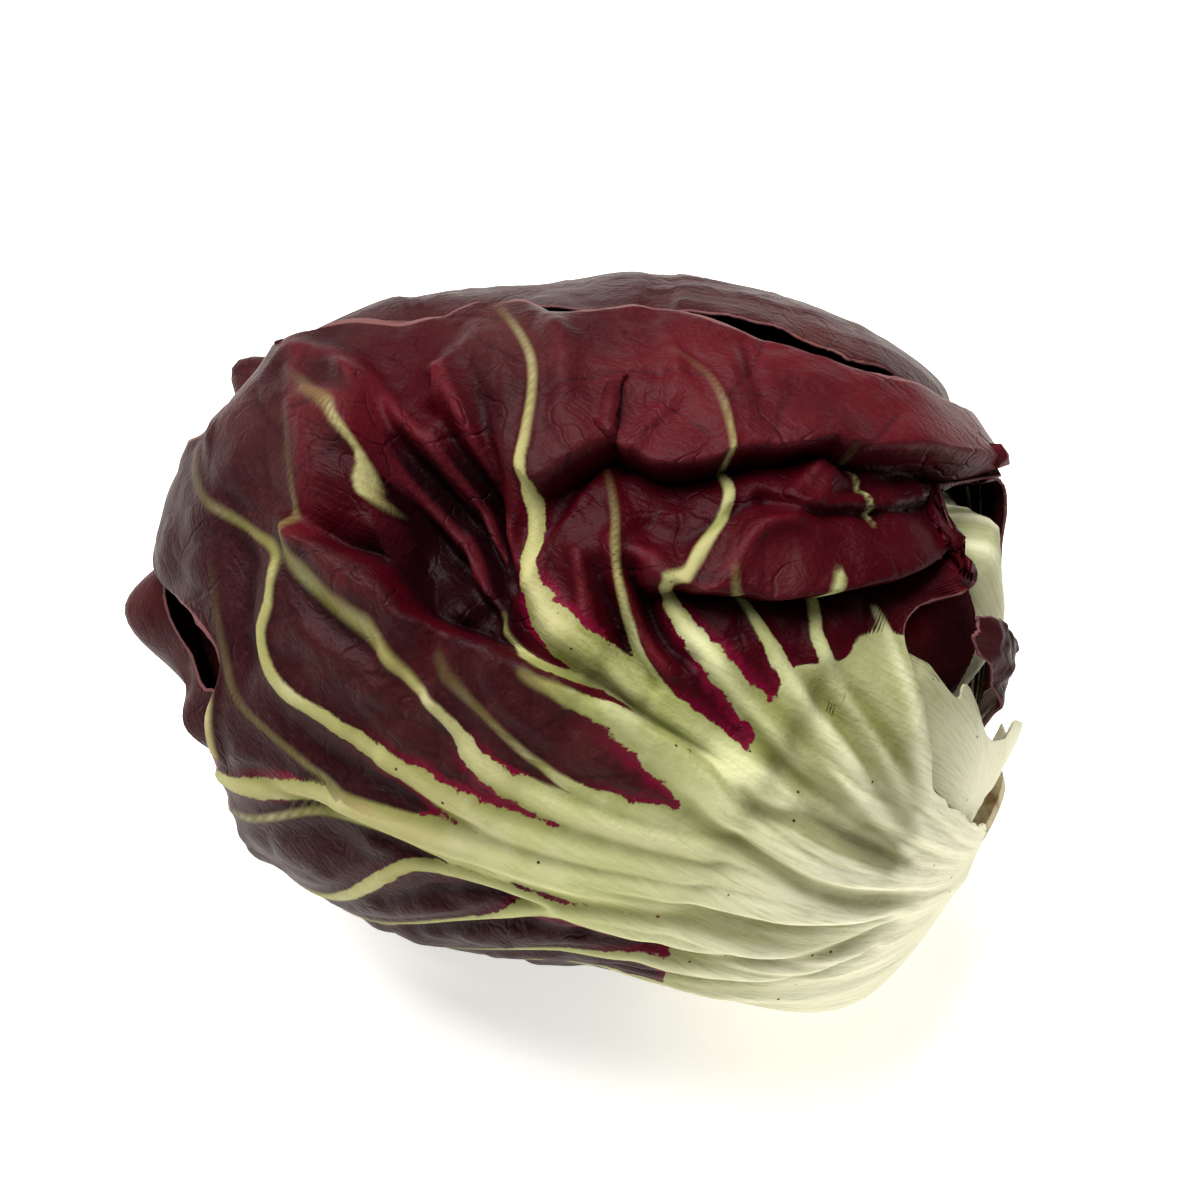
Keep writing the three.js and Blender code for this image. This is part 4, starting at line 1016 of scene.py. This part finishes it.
def camera():
    """Looks along the photograph's view, with the body's centre at its pixel."""
    a, e = CAMERA_AZIMUTH, CAMERA_ELEVATION
    back = Vector((math.sin(a) * math.cos(e), -math.cos(a) * math.cos(e), math.sin(e)))
    right = Vector((math.cos(a), math.sin(a), 0))
    up = back.cross(right)
    distance = IMAGE_SIDE / PIXELS_PER_MM * LENS / SENSOR
    aim = Vector(BODY_CENTRE) - right * ((CENTRE_PIXEL[0] - IMAGE_SIDE / 2) / PIXELS_PER_MM)
    aim += up * ((CENTRE_PIXEL[1] - IMAGE_SIDE / 2) / PIXELS_PER_MM)
    data = bpy.data.cameras.new("camera")
    data.lens, data.sensor_width = LENS, SENSOR
    data.clip_start = 0.01
    eye = bpy.data.objects.new("camera", data)
    eye.location = (aim + back * distance) * MM
    eye.rotation_mode = "QUATERNION"
    eye.rotation_quaternion = back.to_track_quat("Z", "Y")
    bpy.context.collection.objects.link(eye)
    bpy.context.scene.camera = eye


def area_light(name, place, aim, size, power, colour):
    """A square light of the given size in metres that faces aim."""
    data = bpy.data.lights.new(name, "AREA")
    data.shape, data.size, data.energy, data.color = "SQUARE", size, power, colour
    light = bpy.data.objects.new(name, data)
    light.location = place
    light.rotation_mode = "QUATERNION"
    light.rotation_quaternion = (Vector(place) - Vector(aim)).to_track_quat("Z", "Y")
    bpy.context.collection.objects.link(light)


# The floor, half its side in metres, glows like a light table. The world and a large light fill from above.
FLOOR_HALF = 4.0
FLOOR_GLOW = 0.66
WORLD_LIGHT = 0.16
OVERHEAD_POWER, OVERHEAD_SIZE = 31.0, 1.0
OVERHEAD_PLACE, OVERHEAD_AIM = (-0.35, 0.15, 1.15), (0, 0, 0.05)


def studio():
    """A pale glowing floor under soft light."""
    half = FLOOR_HALF
    mesh = bpy.data.meshes.new("floor")
    corners = [(-half, -half, 0), (half, -half, 0), (half, half, 0), (-half, half, 0)]
    mesh.from_pydata(corners, [], [(0, 1, 2, 3)])
    m = Nodes("pale_floor")
    shader = m.node("ShaderNodeBsdfPrincipled", {"Base Color": FLOOR_WHITE, "Roughness": 0.8})
    shader.inputs["Emission Color"].default_value = (1.0, 0.985, 0.955, 1.0)
    shader.inputs["Emission Strength"].default_value = FLOOR_GLOW
    mesh.materials.append(m.finish(shader))
    floor = bpy.data.objects.new("floor", mesh)
    bpy.context.collection.objects.link(floor)
    world = bpy.data.worlds.new("studio")
    world.use_nodes = True
    world.node_tree.nodes["Background"].inputs["Color"].default_value = (1.0, 0.99, 0.97, 1.0)
    world.node_tree.nodes["Background"].inputs["Strength"].default_value = WORLD_LIGHT
    bpy.context.scene.world = world
    area_light("overhead", OVERHEAD_PLACE, OVERHEAD_AIM, OVERHEAD_SIZE, OVERHEAD_POWER, (1.0, 0.99, 0.98))
    bpy.context.scene.view_settings.view_transform = "Standard"


# The last colour here is painted shade for the leaves' recesses, crimson as a painted glow of light through
# the leaf
MAROON, BROWN_MAROON, RED, RECESS_SHADE_CRIMSON = rgb(40, 9, 13), rgb(66, 28, 28), rgb(79, 16, 24), rgb(52, 1, 8)
WINE, BRIGHT_WINE = rgb(66, 2, 10), rgb(108, 6, 18)
front_skin = leaf_material("front_leaf_skin", MAROON, BROWN_MAROON, RED, RECESS_SHADE_CRIMSON, red_side=True)
outer_skin = leaf_material("outer_leaf_skin", MAROON, BROWN_MAROON, RED, RECESS_SHADE_CRIMSON)
inner_skin = leaf_material("inner_leaf_skin", WINE, BRIGHT_WINE, BRIGHT_WINE, RECESS_SHADE_CRIMSON, 0.5)
camera()
front_leaf(front_skin)
for spec in WRAPPERS:
    outside = spec["level"] < FIRST_INNER_LEVEL
    skin = outer_skin if outside else inner_skin
    slot = "pale_leaf_base" if "torn" in spec else "outer_lamina" if outside else "inner_lamina"
    wrapper_leaf(spec, skin, slot, *(OUTER_GRID if outside else INNER_GRID))
heart(inner_skin)
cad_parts["stump"].data.materials.clear()
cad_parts["stump"].data.materials.append(stem_material())
studio()
